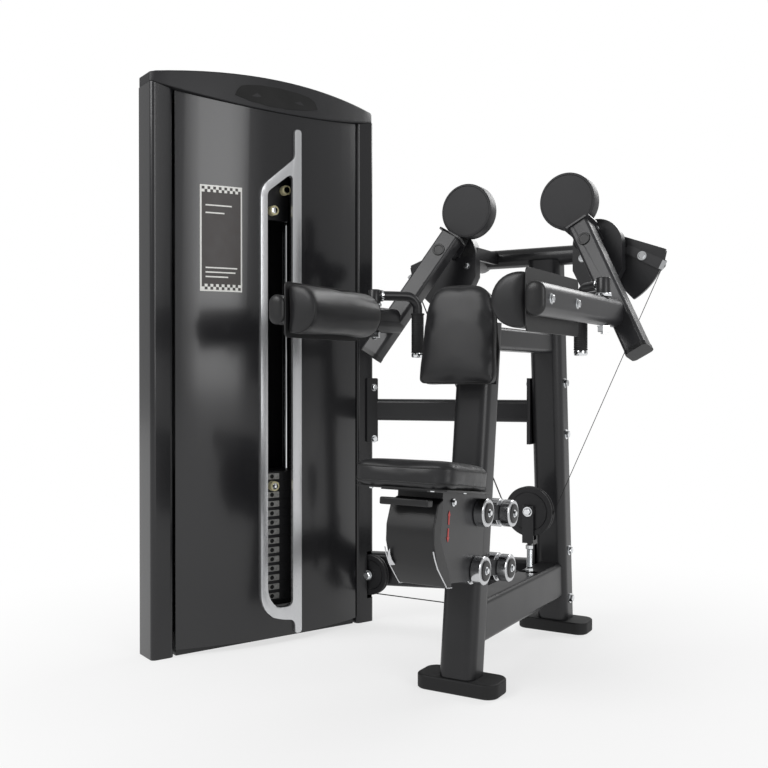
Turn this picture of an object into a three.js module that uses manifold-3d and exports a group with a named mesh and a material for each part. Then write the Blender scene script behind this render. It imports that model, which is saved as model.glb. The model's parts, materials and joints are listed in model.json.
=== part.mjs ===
// Lateral raise machine: a selectorised weight tower joined to a seat frame with two lifting arms.
// Millimetres. +Z up, +Y is the way the user faces, +X is the user's right hand.
// The origin is on the floor, under the middle of the front post.
import * as THREE from 'three';
import { mergeVertices } from 'three/addons/utils/BufferGeometryUtils.js';
import Module from 'manifold-3d';

const wasm = await Module();
wasm.setup();

// Driving dimensions
const fit = 0.3;                     // clearance between pieces that seat on each other
const overrun = 20;                  // how far a cutter runs past what it cuts
const sliver = 0.01;                // edges shorter than this are closed up after a cut
const cableSides = 6;
const arcStepDeg = 9;                // how finely a cable follows a rim
const postAcross = 92;               // frame posts, across the machine
const postAlong = 80;                // frame posts, along the machine
const postCorner = 24;
const frontLeanDeg = 7.4;            // front post leans away from the user
const rearLeanDeg = 4.4;             // rear post leans towards the user
const postSpacing = 640;             // front post to rear post, on the floor
const frontPostTop = 864;
const footHeight = 34;
const footLength = 206;
const footWidth = 96;
const footCorner = 30;
const baseBeamWidth = 72;
const baseBeamHeight = 100;
const baseBeamMiddle = 150;
const upperBeamSide = 58;
const upperBeamMiddle = 828;
const beamCorner = 12;

const pivotSpacing = 408;            // between the two arm pivots
const pivotHeight = 1074;
const crossbeamRadius = 27;
const crossbeamLength = 500;
const barrelRadius = 36;
const barrelLength = 100;
const axleRadius = 14.6;
const axleBoreRadius = 14.9;

const cablePlane = 433;              // every cable below the arms runs in this plane
const cableRadius = 2.6;
const cableFit = 0.9;                // cable to the bottom of its groove
const camRadius = 164;
const camHubRadius = 40;
const camThickness = 12;
const camFirstDeg = -6;
const camLastDeg = -60;
const coverRadius = 65;
const coverThickness = 32;
const coverFront = 381;
const coverDrop = 130;

const armTopX = 182;                 // middle line of the right arm tube
const armTopY = 323;
const armTopZ = 1112;
const armEndX = 360;
const armEndY = 200;
const armEndZ = 797;
const armTubeAcross = 54;
const armTubeThrough = 50;
const armTubeCorner = 8;
const armPlate = 5;
const armPlateEdge = 9;
const weightRadius = 73;
const weightThickness = 43;
const weightFront = 326;
const weightEdge = 3;
const weightX = 142;
const weightZ = 1182;
const padTubeX = 304;
const padTubeZ = 882;
const padTubeWidth = 40;
const padTubeHeight = 66;
const padTubeFront = -306;
const padTubeBack = 236;
const padLength = 298;
const padWidth = 80;
const padHeight = 116;
const padFront = -304;

const handleY = 116;
const handleReachX = -82;
const handleReachY = 84;
const handleZ = 944;
const handleRadius = 12.5;
const handleSleeveRadius = 16;
const gripRadius = 16.5;
const gripTop = 900;
const gripBottom = 796;
const handleEnd = 783;

const seatTop = 521;                 // measured along the leaning post
const seatThickness = 58;
const seatBack = -370;
const seatLength = 326;
const seatBackWidth = 246;
const seatFrontWidth = 132;
const rollerRadius = 34;
const rollerHigh = 416;
const rollerLow = 286;
const rollerCapRadius = 31;
const rollerCapWidth = 10;
const rollerShaftRadius = 8;
const sidePlate = 6;
const sideGap = 3;
const carriageFront = -262;
const carriageTop = 456;
const carriageBottom = 262;
const shroudThickness = 24;

const chestBottom = 700;             // measured along the leaning post
const chestHeight = 246;
const chestBottomWidth = 200;
const chestTopWidth = 128;
const chestThickness = 46;
const chestFront = -136;

const towerWidth = 702;
const towerTurnDeg = 66.3;           // the tower's width against the X axis
const towerX = -638;
const towerEndTop = 1520;
const towerCrown = 25;
const capSag = 37;
const capEdge = 26;
const towerPostWidth = 62;
const towerPostDepth = 92;
const towerPostWall = 5;
const towerPostCorner = 12;
const towerPostFront = 4;            // front faces of the posts, in the tower's own frame
const panelThickness = 4;
const panelBulge = 44;
const capBulge = 47;
const panelEdgeY = 6;
const towerDepth = towerPostDepth + 2 * capBulge;
const panelBottom = 18;
const panelGap = 4;
const stackX = 6;
const stackPlates = 14;
const platePitch = 25.8;
const plateWidth = 250;
const plateDepth = 92;
const stackBottom = 106;
const rodRadius = 12;
const rodSpacing = 148;
const towerBaseHeight = 60;
const topBeamBottom = 1318;
const topBeamHeight = 36;
const topPulleyRadius = 38;
const pulleyThickness = 18;
const grooveDepth = 7;
const lowPulleyRadius = 60;
const floatingPulleyRadius = 68;
const floatingPulleyZ = 366;
const lowCableZ = 84;

const midBeamHeight = 64;
const midBeamWidth = 50;
const midBeamZ = 634;
const lowBeamHeight = 98;
const lowBeamWidth = 50;
const lowBeamZ = 152;
const flangeHeight = 190;
const flangeThickness = 10;
const flangeWidth = 78;

// Finishes
const finish = (color, roughness, metalness) =>
  new THREE.MeshStandardMaterial({ color, roughness, metalness });
const frameBlack = finish(0x2b2b2c, 0.42, 0.35);
const towerGrey = finish(0x3a3a3b, 0.3, 0.35);
const capBlack = finish(0x202021, 0.6, 0.1);
const padBlack = finish(0x1d1d1e, 0.62, 0);
const rubberBlack = finish(0x161617, 0.75, 0);
const plasticBlack = finish(0x1b1b1c, 0.5, 0);
const chromeBright = finish(0xd4d6d8, 0.12, 1);
const satinSilver = finish(0xb9bbbd, 0.3, 0.9);
const castBlack = finish(0x232324, 0.55, 0.5);
const cableBlack = finish(0x101011, 0.5, 0.1);

const rad = THREE.MathUtils.degToRad;
const object = new THREE.Group();
const segments = 3;                  // steps of a quarter round

// Solids: geometry to and from the boolean library
function solid(geometry) {
  const bare = geometry.clone();
  bare.deleteAttribute('normal');
  bare.deleteAttribute('uv');
  const merged = mergeVertices(bare, 1e-4);
  const vertProperties = new Float32Array(merged.attributes.position.array);
  const triVerts = new Uint32Array(merged.index.array);
  return new wasm.Manifold(new wasm.Mesh({ numProp: 3, vertProperties, triVerts }));
}
function surface(body) {
  const mesh = body.simplify(sliver).getMesh();
  const geometry = new THREE.BufferGeometry();
  geometry.setAttribute('position', new THREE.BufferAttribute(new Float32Array(mesh.vertProperties), 3));
  geometry.setIndex(new THREE.BufferAttribute(new Uint32Array(mesh.triVerts), 1));
  return geometry;
}
function piece(name, body, material, parent = object) {
  const geometry = body.isBufferGeometry ? body : surface(body);
  geometry.computeVertexNormals();
  const mesh = new THREE.Mesh(geometry, material);
  mesh.name = name;
  parent.add(mesh);
  return mesh;
}

// Outlines
function roundedOutline(width, height, corner) {
  const shape = new THREE.Shape();
  const x = width / 2 - corner;
  const y = height / 2 - corner;
  shape.absarc(x, y, corner, 0, Math.PI / 2);
  shape.absarc(-x, y, corner, Math.PI / 2, Math.PI);
  shape.absarc(-x, -y, corner, Math.PI, 1.5 * Math.PI);
  shape.absarc(x, -y, corner, 1.5 * Math.PI, 2 * Math.PI);
  return shape;
}
function outline(points) {
  return new THREE.Shape(points.map(([x, y]) => new THREE.Vector2(x, y)));
}
function extrude(shape, depth, curveSegments = segments) {
  return new THREE.ExtrudeGeometry(shape, { depth, bevelEnabled: false, curveSegments });
}
function box(x0, x1, y0, y1, z0, z1) {
  const geometry = new THREE.BoxGeometry(x1 - x0, y1 - y0, z1 - z0);
  geometry.translate((x0 + x1) / 2, (y0 + y1) / 2, (z0 + z1) / 2);
  return solid(geometry);
}
// A cylinder between two points
function rod(from, to, radius, sides = 16) {
  const a = new THREE.Vector3(...from);
  const along = new THREE.Vector3(...to).sub(a);
  const geometry = new THREE.CylinderGeometry(radius, radius, along.length(), sides);
  geometry.translate(0, along.length() / 2, 0);
  const turn = new THREE.Quaternion().setFromUnitVectors(new THREE.Vector3(0, 1, 0), along.normalize());
  geometry.applyQuaternion(turn);
  geometry.translate(a.x, a.y, a.z);
  return solid(geometry);
}
// A bar of a given outline from one point to another; its outline's y side looks along "side"
function bar(from, to, shape, side = [0, 1, 0], curveSegments = segments) {
  const a = new THREE.Vector3(...from);
  const along = new THREE.Vector3(...to).sub(a);
  const length = along.length();
  const z = along.normalize();
  const y = new THREE.Vector3(...side);
  y.addScaledVector(z, -y.dot(z)).normalize();
  const x = new THREE.Vector3().crossVectors(y, z);
  const geometry = extrude(shape, length, curveSegments);
  geometry.applyMatrix4(new THREE.Matrix4().makeBasis(x, y, z).setPosition(a));
  return solid(geometry);
}
// An outline drawn in a plane of X and Z, given a depth along Y
function slabXZ(shape, y0, y1, curveSegments = segments) {
  const geometry = extrude(shape, y1 - y0, curveSegments);
  geometry.rotateX(Math.PI / 2);
  geometry.translate(0, y1, 0);
  return solid(geometry);
}
// An outline drawn in a plane of Y and Z, given a depth along X
function slabYZ(shape, x0, x1, curveSegments = segments) {
  const geometry = extrude(shape, x1 - x0, curveSegments);
  const turn = new THREE.Matrix4().makeBasis(
    new THREE.Vector3(0, 1, 0), new THREE.Vector3(0, 0, 1), new THREE.Vector3(1, 0, 0));
  geometry.applyMatrix4(turn);
  geometry.translate(x0, 0, 0);
  return solid(geometry);
}
function together(first, ...others) {
  return others.reduce((sum, next) => sum.add(next), first);
}
function without(first, ...others) {
  return others.reduce((rest, next) => rest.subtract(next), first);
}
function mirrored(body) {
  return body.mirror([1, 0, 0]);
}

// Posts, feet and beams
const frontLean = Math.tan(rad(frontLeanDeg));
const rearLean = Math.tan(rad(rearLeanDeg));
const rearPostY = (z) => postSpacing - rearLean * z;
const frontPostY = (z) => frontLean * z;
const crossbeamY = rearPostY(pivotHeight);

function leaningPost(middle, bottom, top, spare) {
  const shape = roundedOutline(postAcross + 2 * spare, postAlong + 2 * spare, postCorner + spare);
  const low = [0, middle(bottom - overrun), bottom - overrun];
  const high = [0, middle(top + overrun), top + overrun];
  const reach = postSpacing + overrun;
  return bar(low, high, shape).intersect(box(-reach, reach, -reach, 2 * reach, bottom, top));
}
const frontPost = leaningPost(frontPostY, footHeight + fit, frontPostTop, 0);
const frontPostRoom = leaningPost(frontPostY, footHeight + fit, frontPostTop, fit);
const rearPostTop = pivotHeight;
const crossbeamEnds = crossbeamLength / 2;
const crossbeamTube = (radius) =>
  rod([-crossbeamEnds, crossbeamY, pivotHeight], [crossbeamEnds, crossbeamY, pivotHeight], radius, 20);
const rearPost = leaningPost(rearPostY, footHeight + fit, rearPostTop, 0)
  .subtract(crossbeamTube(crossbeamRadius + fit))
  .intersect(box(-postAcross, postAcross, 0, 2 * postSpacing, 0, pivotHeight - crossbeamRadius / 2));
const rearPostRoom = leaningPost(rearPostY, footHeight + fit, rearPostTop, fit);
piece('front_post', frontPost, frameBlack);
piece('rear_post', rearPost, frameBlack);

function foot(y) {
  const geometry = new THREE.ExtrudeGeometry(
    roundedOutline(footLength, footWidth, footCorner), { depth: footHeight, bevelEnabled: false, curveSegments: 6 });
  geometry.translate(0, y, 0);
  return geometry;
}
piece('front_foot', foot(frontPostY(footHeight)), rubberBlack);
piece('rear_foot', foot(rearPostY(footHeight)), rubberBlack);

const cableOut = cableRadius + cableFit - grooveDepth;
const lowPulleyX = -lowPulleyRadius - cableOut;
const lowPulleyZ = lowCableZ + lowPulleyRadius + cableOut;
const pocketHalf = pulleyThickness / 2 + 5;
const baseBeam = bar(
  [0, 0, baseBeamMiddle], [0, postSpacing, baseBeamMiddle],
  roundedOutline(baseBeamWidth, baseBeamHeight, beamCorner), [0, 0, 1])
  .subtract(box(-baseBeamWidth, postAcross / 4, cablePlane - pocketHalf, cablePlane + pocketHalf, 0, 2 * baseBeamMiddle))
  .subtract(frontPostRoom)
  .subtract(box(-footLength, footLength, -postSpacing, frontPostY(baseBeamMiddle), 0, pivotHeight))
  .subtract(rearPostRoom)
  .subtract(box(-footLength, footLength, rearPostY(baseBeamMiddle), 2 * postSpacing, 0, pivotHeight));
const axlePin = 6;
const cheek = 4;
const cheekGap = pulleyThickness / 2 + 1;
const cheekHalf = 16;
// Two cheeks and an axle that carry a pulley at (x, y, z), with the cheeks running to x1
function cheeks(x, y, z, x1) {
  const far = cheekGap + cheek;
  const low = Math.min(x - cheekHalf, x1);
  const high = Math.max(x + cheekHalf, x1);
  return together(
    box(low, high, y - far, y - cheekGap, z - cheekHalf, z + cheekHalf),
    box(low, high, y + cheekGap, y + far, z - cheekHalf, z + cheekHalf),
    rod([x, y - far - fit, z], [x, y + far + fit, z], axlePin, 12));
}
piece('base_beam', baseBeam.add(cheeks(lowPulleyX, cablePlane, lowPulleyZ, postAcross / 4 + overrun / 2)), frameBlack);
const upperBeam = bar(
  [0, 0, upperBeamMiddle], [0, postSpacing, upperBeamMiddle],
  roundedOutline(upperBeamSide, upperBeamSide, beamCorner), [0, 0, 1])
  .subtract(frontPostRoom)
  .subtract(box(-footLength, footLength, -postSpacing, frontPostY(upperBeamMiddle), 0, pivotHeight))
  .subtract(rearPostRoom)
  .subtract(box(-footLength, footLength, rearPostY(upperBeamMiddle), 2 * postSpacing, 0, pivotHeight));
piece('upper_beam', upperBeam, frameBlack);

// Crossbeam with the two bearing barrels of the arm pivots
const pivotX = pivotSpacing / 2;
const barrelFront = crossbeamY - barrelLength;
const barrelBack = crossbeamY + crossbeamRadius / 2;
const barrel = (x) => rod([x, barrelFront, pivotHeight], [x, barrelBack, pivotHeight], barrelRadius, 20);
const barrelBore = (x) => rod(
  [x, barrelFront - overrun, pivotHeight], [x, barrelBack + overrun, pivotHeight], axleBoreRadius, 16);
const crossbeam = without(
  together(crossbeamTube(crossbeamRadius), barrel(pivotX), barrel(-pivotX)),
  barrelBore(pivotX), barrelBore(-pivotX));
piece('crossbeam', crossbeam, frameBlack);

// Pivot cover: a round-topped housing in front of the cam, held from the crossbeam
const coverBack = coverFront + coverThickness;
const coverTabWidth = 12;
const coverTabHeight = 34;
function pivotCover() {
  const shape = new THREE.Shape();
  shape.absarc(pivotX, pivotHeight, coverRadius, 0, Math.PI);
  shape.lineTo(pivotX - coverRadius, pivotHeight - coverDrop / 2);
  shape.lineTo(pivotX - coverRadius / 2, pivotHeight - coverDrop);
  shape.lineTo(pivotX + coverRadius / 2, pivotHeight - coverDrop);
  shape.lineTo(pivotX + coverRadius, pivotHeight - coverDrop / 2);
  const shell = slabXZ(shape, coverFront, coverBack, 12);
  const inner = pivotX - coverRadius;
  const tab = box(inner, inner + coverTabWidth, coverBack - coverThickness / 2,
    crossbeamY, pivotHeight - coverTabHeight / 2, pivotHeight + coverTabHeight / 2);
  const bore = rod([pivotX, coverFront - overrun, pivotHeight], [pivotX, coverBack + overrun, pivotHeight],
    axleRadius + 4 * fit, 20);
  return without(together(shell, tab), bore, crossbeamTube(crossbeamRadius + fit));
}

// One arm: slanted tube, end plate, pad tube, counterweight lug and axle
const axleBack = crossbeamY - crossbeamRadius - overrun / 2;
const lugThickness = 7;
const lugWidth = 46;
function arm(side) {
  const top = [side * armTopX, armTopY, armTopZ];
  const end = [side * armEndX, armEndY, armEndZ];
  const tube = bar(top, end, roundedOutline(armTubeAcross, armTubeThrough, armTubeCorner), [0, 1, 0], 3);
  const line = new THREE.Vector3(...top).sub(new THREE.Vector3(...end)).normalize();
  const plateTop = new THREE.Vector3(...top).addScaledVector(line, armPlate).toArray();
  const plateSize = armTubeAcross + 2 * armPlateEdge;
  const plate = bar(top, plateTop, roundedOutline(plateSize, armTubeThrough + armPlateEdge, armTubeCorner), [0, 1, 0], 3);
  const padTube = bar([side * padTubeX, padTubeFront, padTubeZ], [side * padTubeX, padTubeBack, padTubeZ],
    roundedOutline(padTubeWidth, padTubeHeight, padTubeWidth / 2 - fit), [0, 0, 1], 6);
  const onAxis = (pivotHeight - armEndZ) / (armTopZ - armEndZ);
  const axleFront = armEndY + onAxis * (armTopY - armEndY);
  const axle = rod([side * pivotX, axleFront, pivotHeight], [side * pivotX, axleBack, pivotHeight], axleRadius, 16);
  const lugY = weightFront + weightThickness + fit;
  const lug = bar([side * weightX, lugY + lugThickness / 2, weightZ],
    [side * pivotX, lugY + lugThickness / 2, pivotHeight],
    outline([[-lugWidth / 2, -lugThickness / 2], [lugWidth / 2, -lugThickness / 2],
      [lugWidth / 2, lugThickness / 2], [-lugWidth / 2, lugThickness / 2]]));
  return together(tube, plate, padTube, axle, lug);
}
function counterweight() {
  const back = weightFront + weightThickness;
  return together(
    rod([weightX, weightFront, weightZ], [weightX, back, weightZ], weightRadius - weightEdge, 28),
    rod([weightX, weightFront + weightEdge, weightZ], [weightX, back - weightEdge, weightZ], weightRadius, 28));
}
const camFront = cablePlane - camThickness / 2;
const camBack = cablePlane + camThickness / 2;
const camHubFront = coverBack + 2;
const camHubBack = barrelFront - 1;
function cam() {
  const shape = new THREE.Shape();
  shape.absarc(pivotX, pivotHeight, camRadius, rad(camLastDeg), rad(camFirstDeg));
  shape.absarc(pivotX, pivotHeight, camHubRadius, rad(70), rad(230));
  const plate = slabXZ(shape, camFront, camBack, 12);
  const hub = rod([pivotX, camHubFront, pivotHeight], [pivotX, camHubBack, pivotHeight], camHubRadius * 0.6, 16);
  const bore = rod([pivotX, coverFront, pivotHeight], [pivotX, camHubBack + overrun, pivotHeight],
    axleBoreRadius, 16);
  return together(plate, hub).subtract(bore);
}

// Cushion: an upright-sided pad with a crowned face and sides that draw in between their edges
function cushion(shape, thickness, edge, crown, waist, divisions) {
  const drawn = shape.getPoints(divisions);
  const points = drawn.filter((p, i) => p.distanceTo(drawn[(i + 1) % drawn.length]) > fit);
  const count = points.length;
  const inward = points.map((p, i) => {
    const along = points[(i + 1) % count].clone().sub(points[(i + count - 1) % count]).normalize();
    return new THREE.Vector2(-along.y, along.x);
  });
  const middle = points.reduce((sum, p) => sum.add(p), new THREE.Vector2()).divideScalar(count);
  const sideTop = thickness - crown;
  const levels = [
    [0, edge], [edge / 3, edge / 4], [edge, 0], [sideTop / 2, waist],
    [sideTop - edge, 0], [sideTop - edge / 4, edge / 3], [sideTop, edge]];
  const crownShares = [[0.8, 0.45], [0.5, 0.8]];
  const rings = levels.map(([z, inset]) => points.map((p, i) =>
    new THREE.Vector3(p.x + inward[i].x * inset, p.y + inward[i].y * inset, z)));
  const rim = rings[rings.length - 1];
  for (const [spread, rise] of crownShares) {
    rings.push(rim.map((p) => new THREE.Vector3(
      middle.x + (p.x - middle.x) * spread, middle.y + (p.y - middle.y) * spread, sideTop + crown * rise)));
  }
  const vertices = rings.flat();
  vertices.push(new THREE.Vector3(middle.x, middle.y, 0), new THREE.Vector3(middle.x, middle.y, thickness));
  const floor = vertices.length - 2;
  const peak = vertices.length - 1;
  const index = [];
  for (let i = 0; i < count; i += 1) {
    const next = (i + 1) % count;
    index.push(floor, next, i);
    for (let r = 0; r + 1 < rings.length; r += 1) {
      const a = r * count;
      const b = a + count;
      index.push(a + i, a + next, b + next, a + i, b + next, b + i);
    }
    const last = (rings.length - 1) * count;
    index.push(peak, last + i, last + next);
  }
  const geometry = new THREE.BufferGeometry().setFromPoints(vertices);
  geometry.setIndex(index);
  return geometry;
}
// Stands a cushion up so that its crowned face looks towards the user, along -Y
const facingUser = new THREE.Matrix4().makeBasis(
  new THREE.Vector3(1, 0, 0), new THREE.Vector3(0, 0, 1), new THREE.Vector3(0, -1, 0));

// Arm pad: a D outline, round towards the user, flat against the pad tube
const padFlatX = padTubeX - padTubeWidth / 2 - fit;
const padEdge = 7;
function armPad(side) {
  const shape = new THREE.Shape();
  const middleX = padFlatX - padWidth + padHeight / 2;
  shape.moveTo(side * padFlatX, side * -padHeight / 2);
  shape.lineTo(side * padFlatX, side * padHeight / 2);
  shape.absellipse(side * middleX, 0, padHeight / 2, padHeight / 2,
    side > 0 ? Math.PI / 2 : -Math.PI / 2, side > 0 ? 1.5 * Math.PI : Math.PI / 2, false);
  const geometry = cushion(shape, padLength, padEdge, 2 * fit, 1, 8);
  geometry.applyMatrix4(facingUser);
  geometry.translate(0, padFront + padLength, padTubeZ);
  return solid(geometry);
}

// Handle: a swivelling bent bar that hangs from a sleeve on the pad tube, with a grip
class RoutePath extends THREE.Curve {
  constructor(points) {
    super();
    this.points = points;
  }
  getPoint(t, target = new THREE.Vector3()) {
    const spans = this.points.length - 1;
    const place = Math.min(Math.max(t, 0), 1) * spans;
    const i = Math.min(Math.floor(place), spans - 1);
    return target.lerpVectors(this.points[i], this.points[i + 1], place - i);
  }
  getUtoTmapping(u) {
    return u;
  }
}
function tube(points, radius, sides) {
  const section = new THREE.Shape();
  section.absarc(0, 0, radius, 0, 2 * Math.PI);
  const corners = section.getPoints(sides);
  const shape = new THREE.Shape(corners.slice(0, sides));
  return new THREE.ExtrudeGeometry(shape, {
    steps: points.length - 1, extrudePath: new RoutePath(points), bevelEnabled: false });
}
const handleBend = 34;
const handleNut = 14;
const gripX = padTubeX + handleReachX;
const gripY = handleY + handleReachY;
const sleeveTop = padTubeZ + padTubeHeight / 2;
function handleBar() {
  const reach = Math.hypot(handleReachX, handleReachY);
  const ax = handleReachX / reach;
  const ay = handleReachY / reach;
  const points = [new THREE.Vector3(padTubeX, handleY, handleZ)];
  const bendStart = reach - handleBend;
  for (let i = 0; i <= 6; i += 1) {
    const turn = rad(15 * i);
    const out = bendStart + handleBend * Math.sin(turn);
    points.push(new THREE.Vector3(
      padTubeX + ax * out, handleY + ay * out, handleZ - handleBend * (1 - Math.cos(turn))));
  }
  points.push(new THREE.Vector3(gripX, gripY, handleEnd));
  const bent = solid(tube(points, handleRadius, 12));
  const pin = rod([padTubeX, handleY, sleeveTop + fit], [padTubeX, handleY, handleZ + handleSleeveRadius],
    handleSleeveRadius, 16);
  return together(bent, pin);
}
function grip() {
  const outer = rod([gripX, gripY, gripBottom], [gripX, gripY, gripTop], gripRadius, 18);
  const inner = rod([gripX, gripY, gripBottom - overrun], [gripX, gripY, gripTop + overrun],
    handleRadius + fit, 18);
  return outer.subtract(inner);
}

// Both arms, the left one a mirror of the right
for (const [side, name] of [[1, 'right'], [-1, 'left']]) {
  const sided = (body) => (side > 0 ? body : mirrored(body));
  piece(`${name}_pivot_cover`, sided(pivotCover()), frameBlack);
  piece(`${name}_arm`, arm(side), frameBlack);
  piece(`${name}_counterweight`, sided(counterweight()), castBlack);
  piece(`${name}_cam`, sided(cam()), frameBlack);
  piece(`${name}_arm_pad`, armPad(side), padBlack);
  piece(`${name}_handle`, sided(handleBar()), frameBlack);
  piece(`${name}_grip`, sided(grip()), rubberBlack);
}

// Seat, carriage and chest pad, drawn square to the leaning front post
const leaning = new THREE.Group();
leaning.rotation.x = -rad(frontLeanDeg);
object.add(leaning);

const seatBottom = carriageTop + sidePlate + fit;
const seatFront = seatBack + seatLength;
const seatCorner = 34;
const seatTaper = 118;
function seatPad() {
  const back = seatBackWidth / 2;
  const front = seatFrontWidth / 2;
  const shape = new THREE.Shape();
  shape.absarc(back - seatCorner, seatBack + seatCorner, seatCorner, -Math.PI / 2, 0);
  shape.quadraticCurveTo(back, seatFront - seatTaper, (back + front) / 2, seatFront - seatTaper / 2);
  shape.absarc(front - seatCorner / 2, seatFront - seatCorner / 2, seatCorner / 2, 0, Math.PI / 2);
  shape.absarc(-front + seatCorner / 2, seatFront - seatCorner / 2, seatCorner / 2, Math.PI / 2, Math.PI);
  shape.lineTo(-(back + front) / 2, seatFront - seatTaper / 2);
  shape.quadraticCurveTo(-back, seatFront - seatTaper, -back, seatBack + seatCorner);
  shape.absarc(-back + seatCorner, seatBack + seatCorner, seatCorner, Math.PI, 1.5 * Math.PI);
  const geometry = cushion(shape, seatTop - seatBottom, 8, 6, 2, 5);
  geometry.translate(0, 0, seatBottom);
  return geometry;
}
piece('seat_pad', seatPad(), padBlack, leaning);

const plateInside = postAcross / 2 + sideGap;
const plateOutside = plateInside + sidePlate;
const rollerY = postAlong / 2 + rollerRadius + fit;
const lugHalf = 18;
const armEndReach = rollerY + lugHalf;
const armStart = -postAlong / 2;
function seatCarriage() {
  const plate = outline([
    [carriageFront, (carriageBottom + carriageTop) / 2], [carriageFront + 62, carriageBottom],
    [armStart, carriageBottom], [armStart, rollerLow - lugHalf], [armEndReach, rollerLow - lugHalf],
    [armEndReach, rollerLow + lugHalf], [armStart, rollerLow + lugHalf], [armStart, rollerHigh - lugHalf],
    [armEndReach, rollerHigh - lugHalf], [armEndReach, rollerHigh + lugHalf], [armStart, rollerHigh + lugHalf],
    [armStart, carriageTop], [carriageFront, carriageTop]]);
  const top = box(-plateOutside, plateOutside, seatBack + seatCorner, armStart - sideGap,
    carriageTop - fit, carriageTop + sidePlate);
  const stiffener = box(-plateOutside, plateOutside, carriageFront, carriageFront + sidePlate,
    (carriageBottom + carriageTop) / 2, carriageTop);
  const holes = [rollerHigh, rollerLow].flatMap((z) => [rollerY, -rollerY].map((y) => rod(
    [-plateOutside - overrun, y, z], [plateOutside + overrun, y, z], rollerShaftRadius + fit, 12)));
  return without(together(slabYZ(plate, plateInside, plateOutside),
    slabYZ(plate, -plateOutside, -plateInside), top, stiffener), ...holes);
}
piece('seat_carriage', seatCarriage(), frameBlack, leaning);

function shroud() {
  const y = carriageFront - fit;
  const t = shroudThickness;
  const half = plateOutside + sideGap;
  const mid = (carriageBottom + carriageTop) / 2;
  const profile = outline([
    [y, carriageTop - t / 2], [y - t, carriageTop - t], [y - 1.6 * t, mid + t], [y - 1.5 * t, mid - t / 2],
    [y - t / 2, mid - 2.6 * t], [y + 1.6 * t, carriageBottom - t / 3], [y + 62 - fit, carriageBottom - t / 3],
    [y + 62 - fit, carriageBottom - fit], [y, mid - fit]]);
  return slabYZ(profile, -half, half);
}
piece('carriage_shroud', shroud(), plasticBlack, leaning);

const leverLength = 46;
const leverThickness = 16;
const leverY = carriageFront - shroudThickness - 4;
const leverZ = carriageTop - shroudThickness - 8;
function seatLever() {
  const half = plateOutside + sideGap;
  const wing = new THREE.Shape();
  wing.moveTo(-half, -leverLength);
  wing.quadraticCurveTo(0, -leverLength / 2, half, -leverLength);
  wing.lineTo(half, -leverLength / 2);
  wing.lineTo(half / 2, 0);
  wing.lineTo(-half / 2, 0);
  wing.lineTo(-half, -leverLength / 2);
  const geometry = extrude(wing, leverThickness);
  geometry.translate(0, leverY, leverZ);
  return solid(geometry);
}
piece('seat_lever', seatLever(), plasticBlack, leaning);

function roller(y, z) {
  const capStart = plateOutside + 2 * fit;
  const capEnd = capStart + rollerCapWidth;
  return together(
    rod([-plateInside + 2 * fit, y, z], [plateInside - 2 * fit, y, z], rollerRadius, 20),
    rod([-capEnd + fit, y, z], [capEnd - fit, y, z], rollerShaftRadius, 12),
    rod([capStart, y, z], [capEnd, y, z], rollerCapRadius, 20),
    rod([-capEnd, y, z], [-capStart, y, z], rollerCapRadius, 20));
}
for (const [y, where] of [[-rollerY, 'front'], [rollerY, 'rear']]) {
  for (const [z, level] of [[rollerHigh, 'upper'], [rollerLow, 'lower']]) {
    piece(`${where}_${level}_roller`, roller(y, z), chromeBright, leaning);
  }
}

const chestCorner = 36;
function chestPad() {
  const low = chestBottomWidth / 2;
  const high = chestTopWidth / 2;
  const top = chestBottom + chestHeight;
  const shape = new THREE.Shape();
  shape.absarc(low - chestCorner / 2, chestBottom + chestCorner / 2, chestCorner / 2, -Math.PI / 2, 0);
  shape.lineTo(low, chestBottom + chestHeight / 3);
  shape.bezierCurveTo(low, top - chestCorner, high + chestCorner / 2, top, high / 3, top);
  shape.lineTo(-high / 3, top);
  shape.bezierCurveTo(-high - chestCorner / 2, top, -low, top - chestCorner, -low, chestBottom + chestHeight / 3);
  shape.absarc(-low + chestCorner / 2, chestBottom + chestCorner / 2, chestCorner / 2, Math.PI, 1.5 * Math.PI);
  const geometry = cushion(shape, chestThickness, 7, 6, 1.5, 6);
  geometry.applyMatrix4(facingUser);
  geometry.translate(0, chestFront + chestThickness, 0);
  return geometry;
}
piece('chest_pad', chestPad(), padBlack, leaning);
const bracketHalf = 34;
const bracketTop = frontPostTop - postAlong;
const bracket = box(-bracketHalf, bracketHalf, chestFront + chestThickness + fit, -postAlong / 2 - fit,
  bracketTop - 2 * bracketHalf, bracketTop);
piece('chest_pad_bracket', bracket, frameBlack, leaning);

// Pulleys
function pulley(x, y, z, radius) {
  const half = pulleyThickness / 2;
  const rim = pulleyThickness / 4;
  const ends = (a, b, r, sides = 24) => rod([x, y + a, z], [x, y + b, z], r, sides);
  return without(together(ends(-half, -half + rim, radius), ends(half - rim, half, radius),
    ends(-half + rim / 2, half - rim / 2, radius - grooveDepth)), ends(-half - rim, half + rim, axlePin + fit, 12));
}
piece('rear_low_pulley', pulley(lowPulleyX, cablePlane, lowPulleyZ, lowPulleyRadius), plasticBlack);
piece('floating_pulley', pulley(0, cablePlane, floatingPulleyZ, floatingPulleyRadius), plasticBlack);

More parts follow.
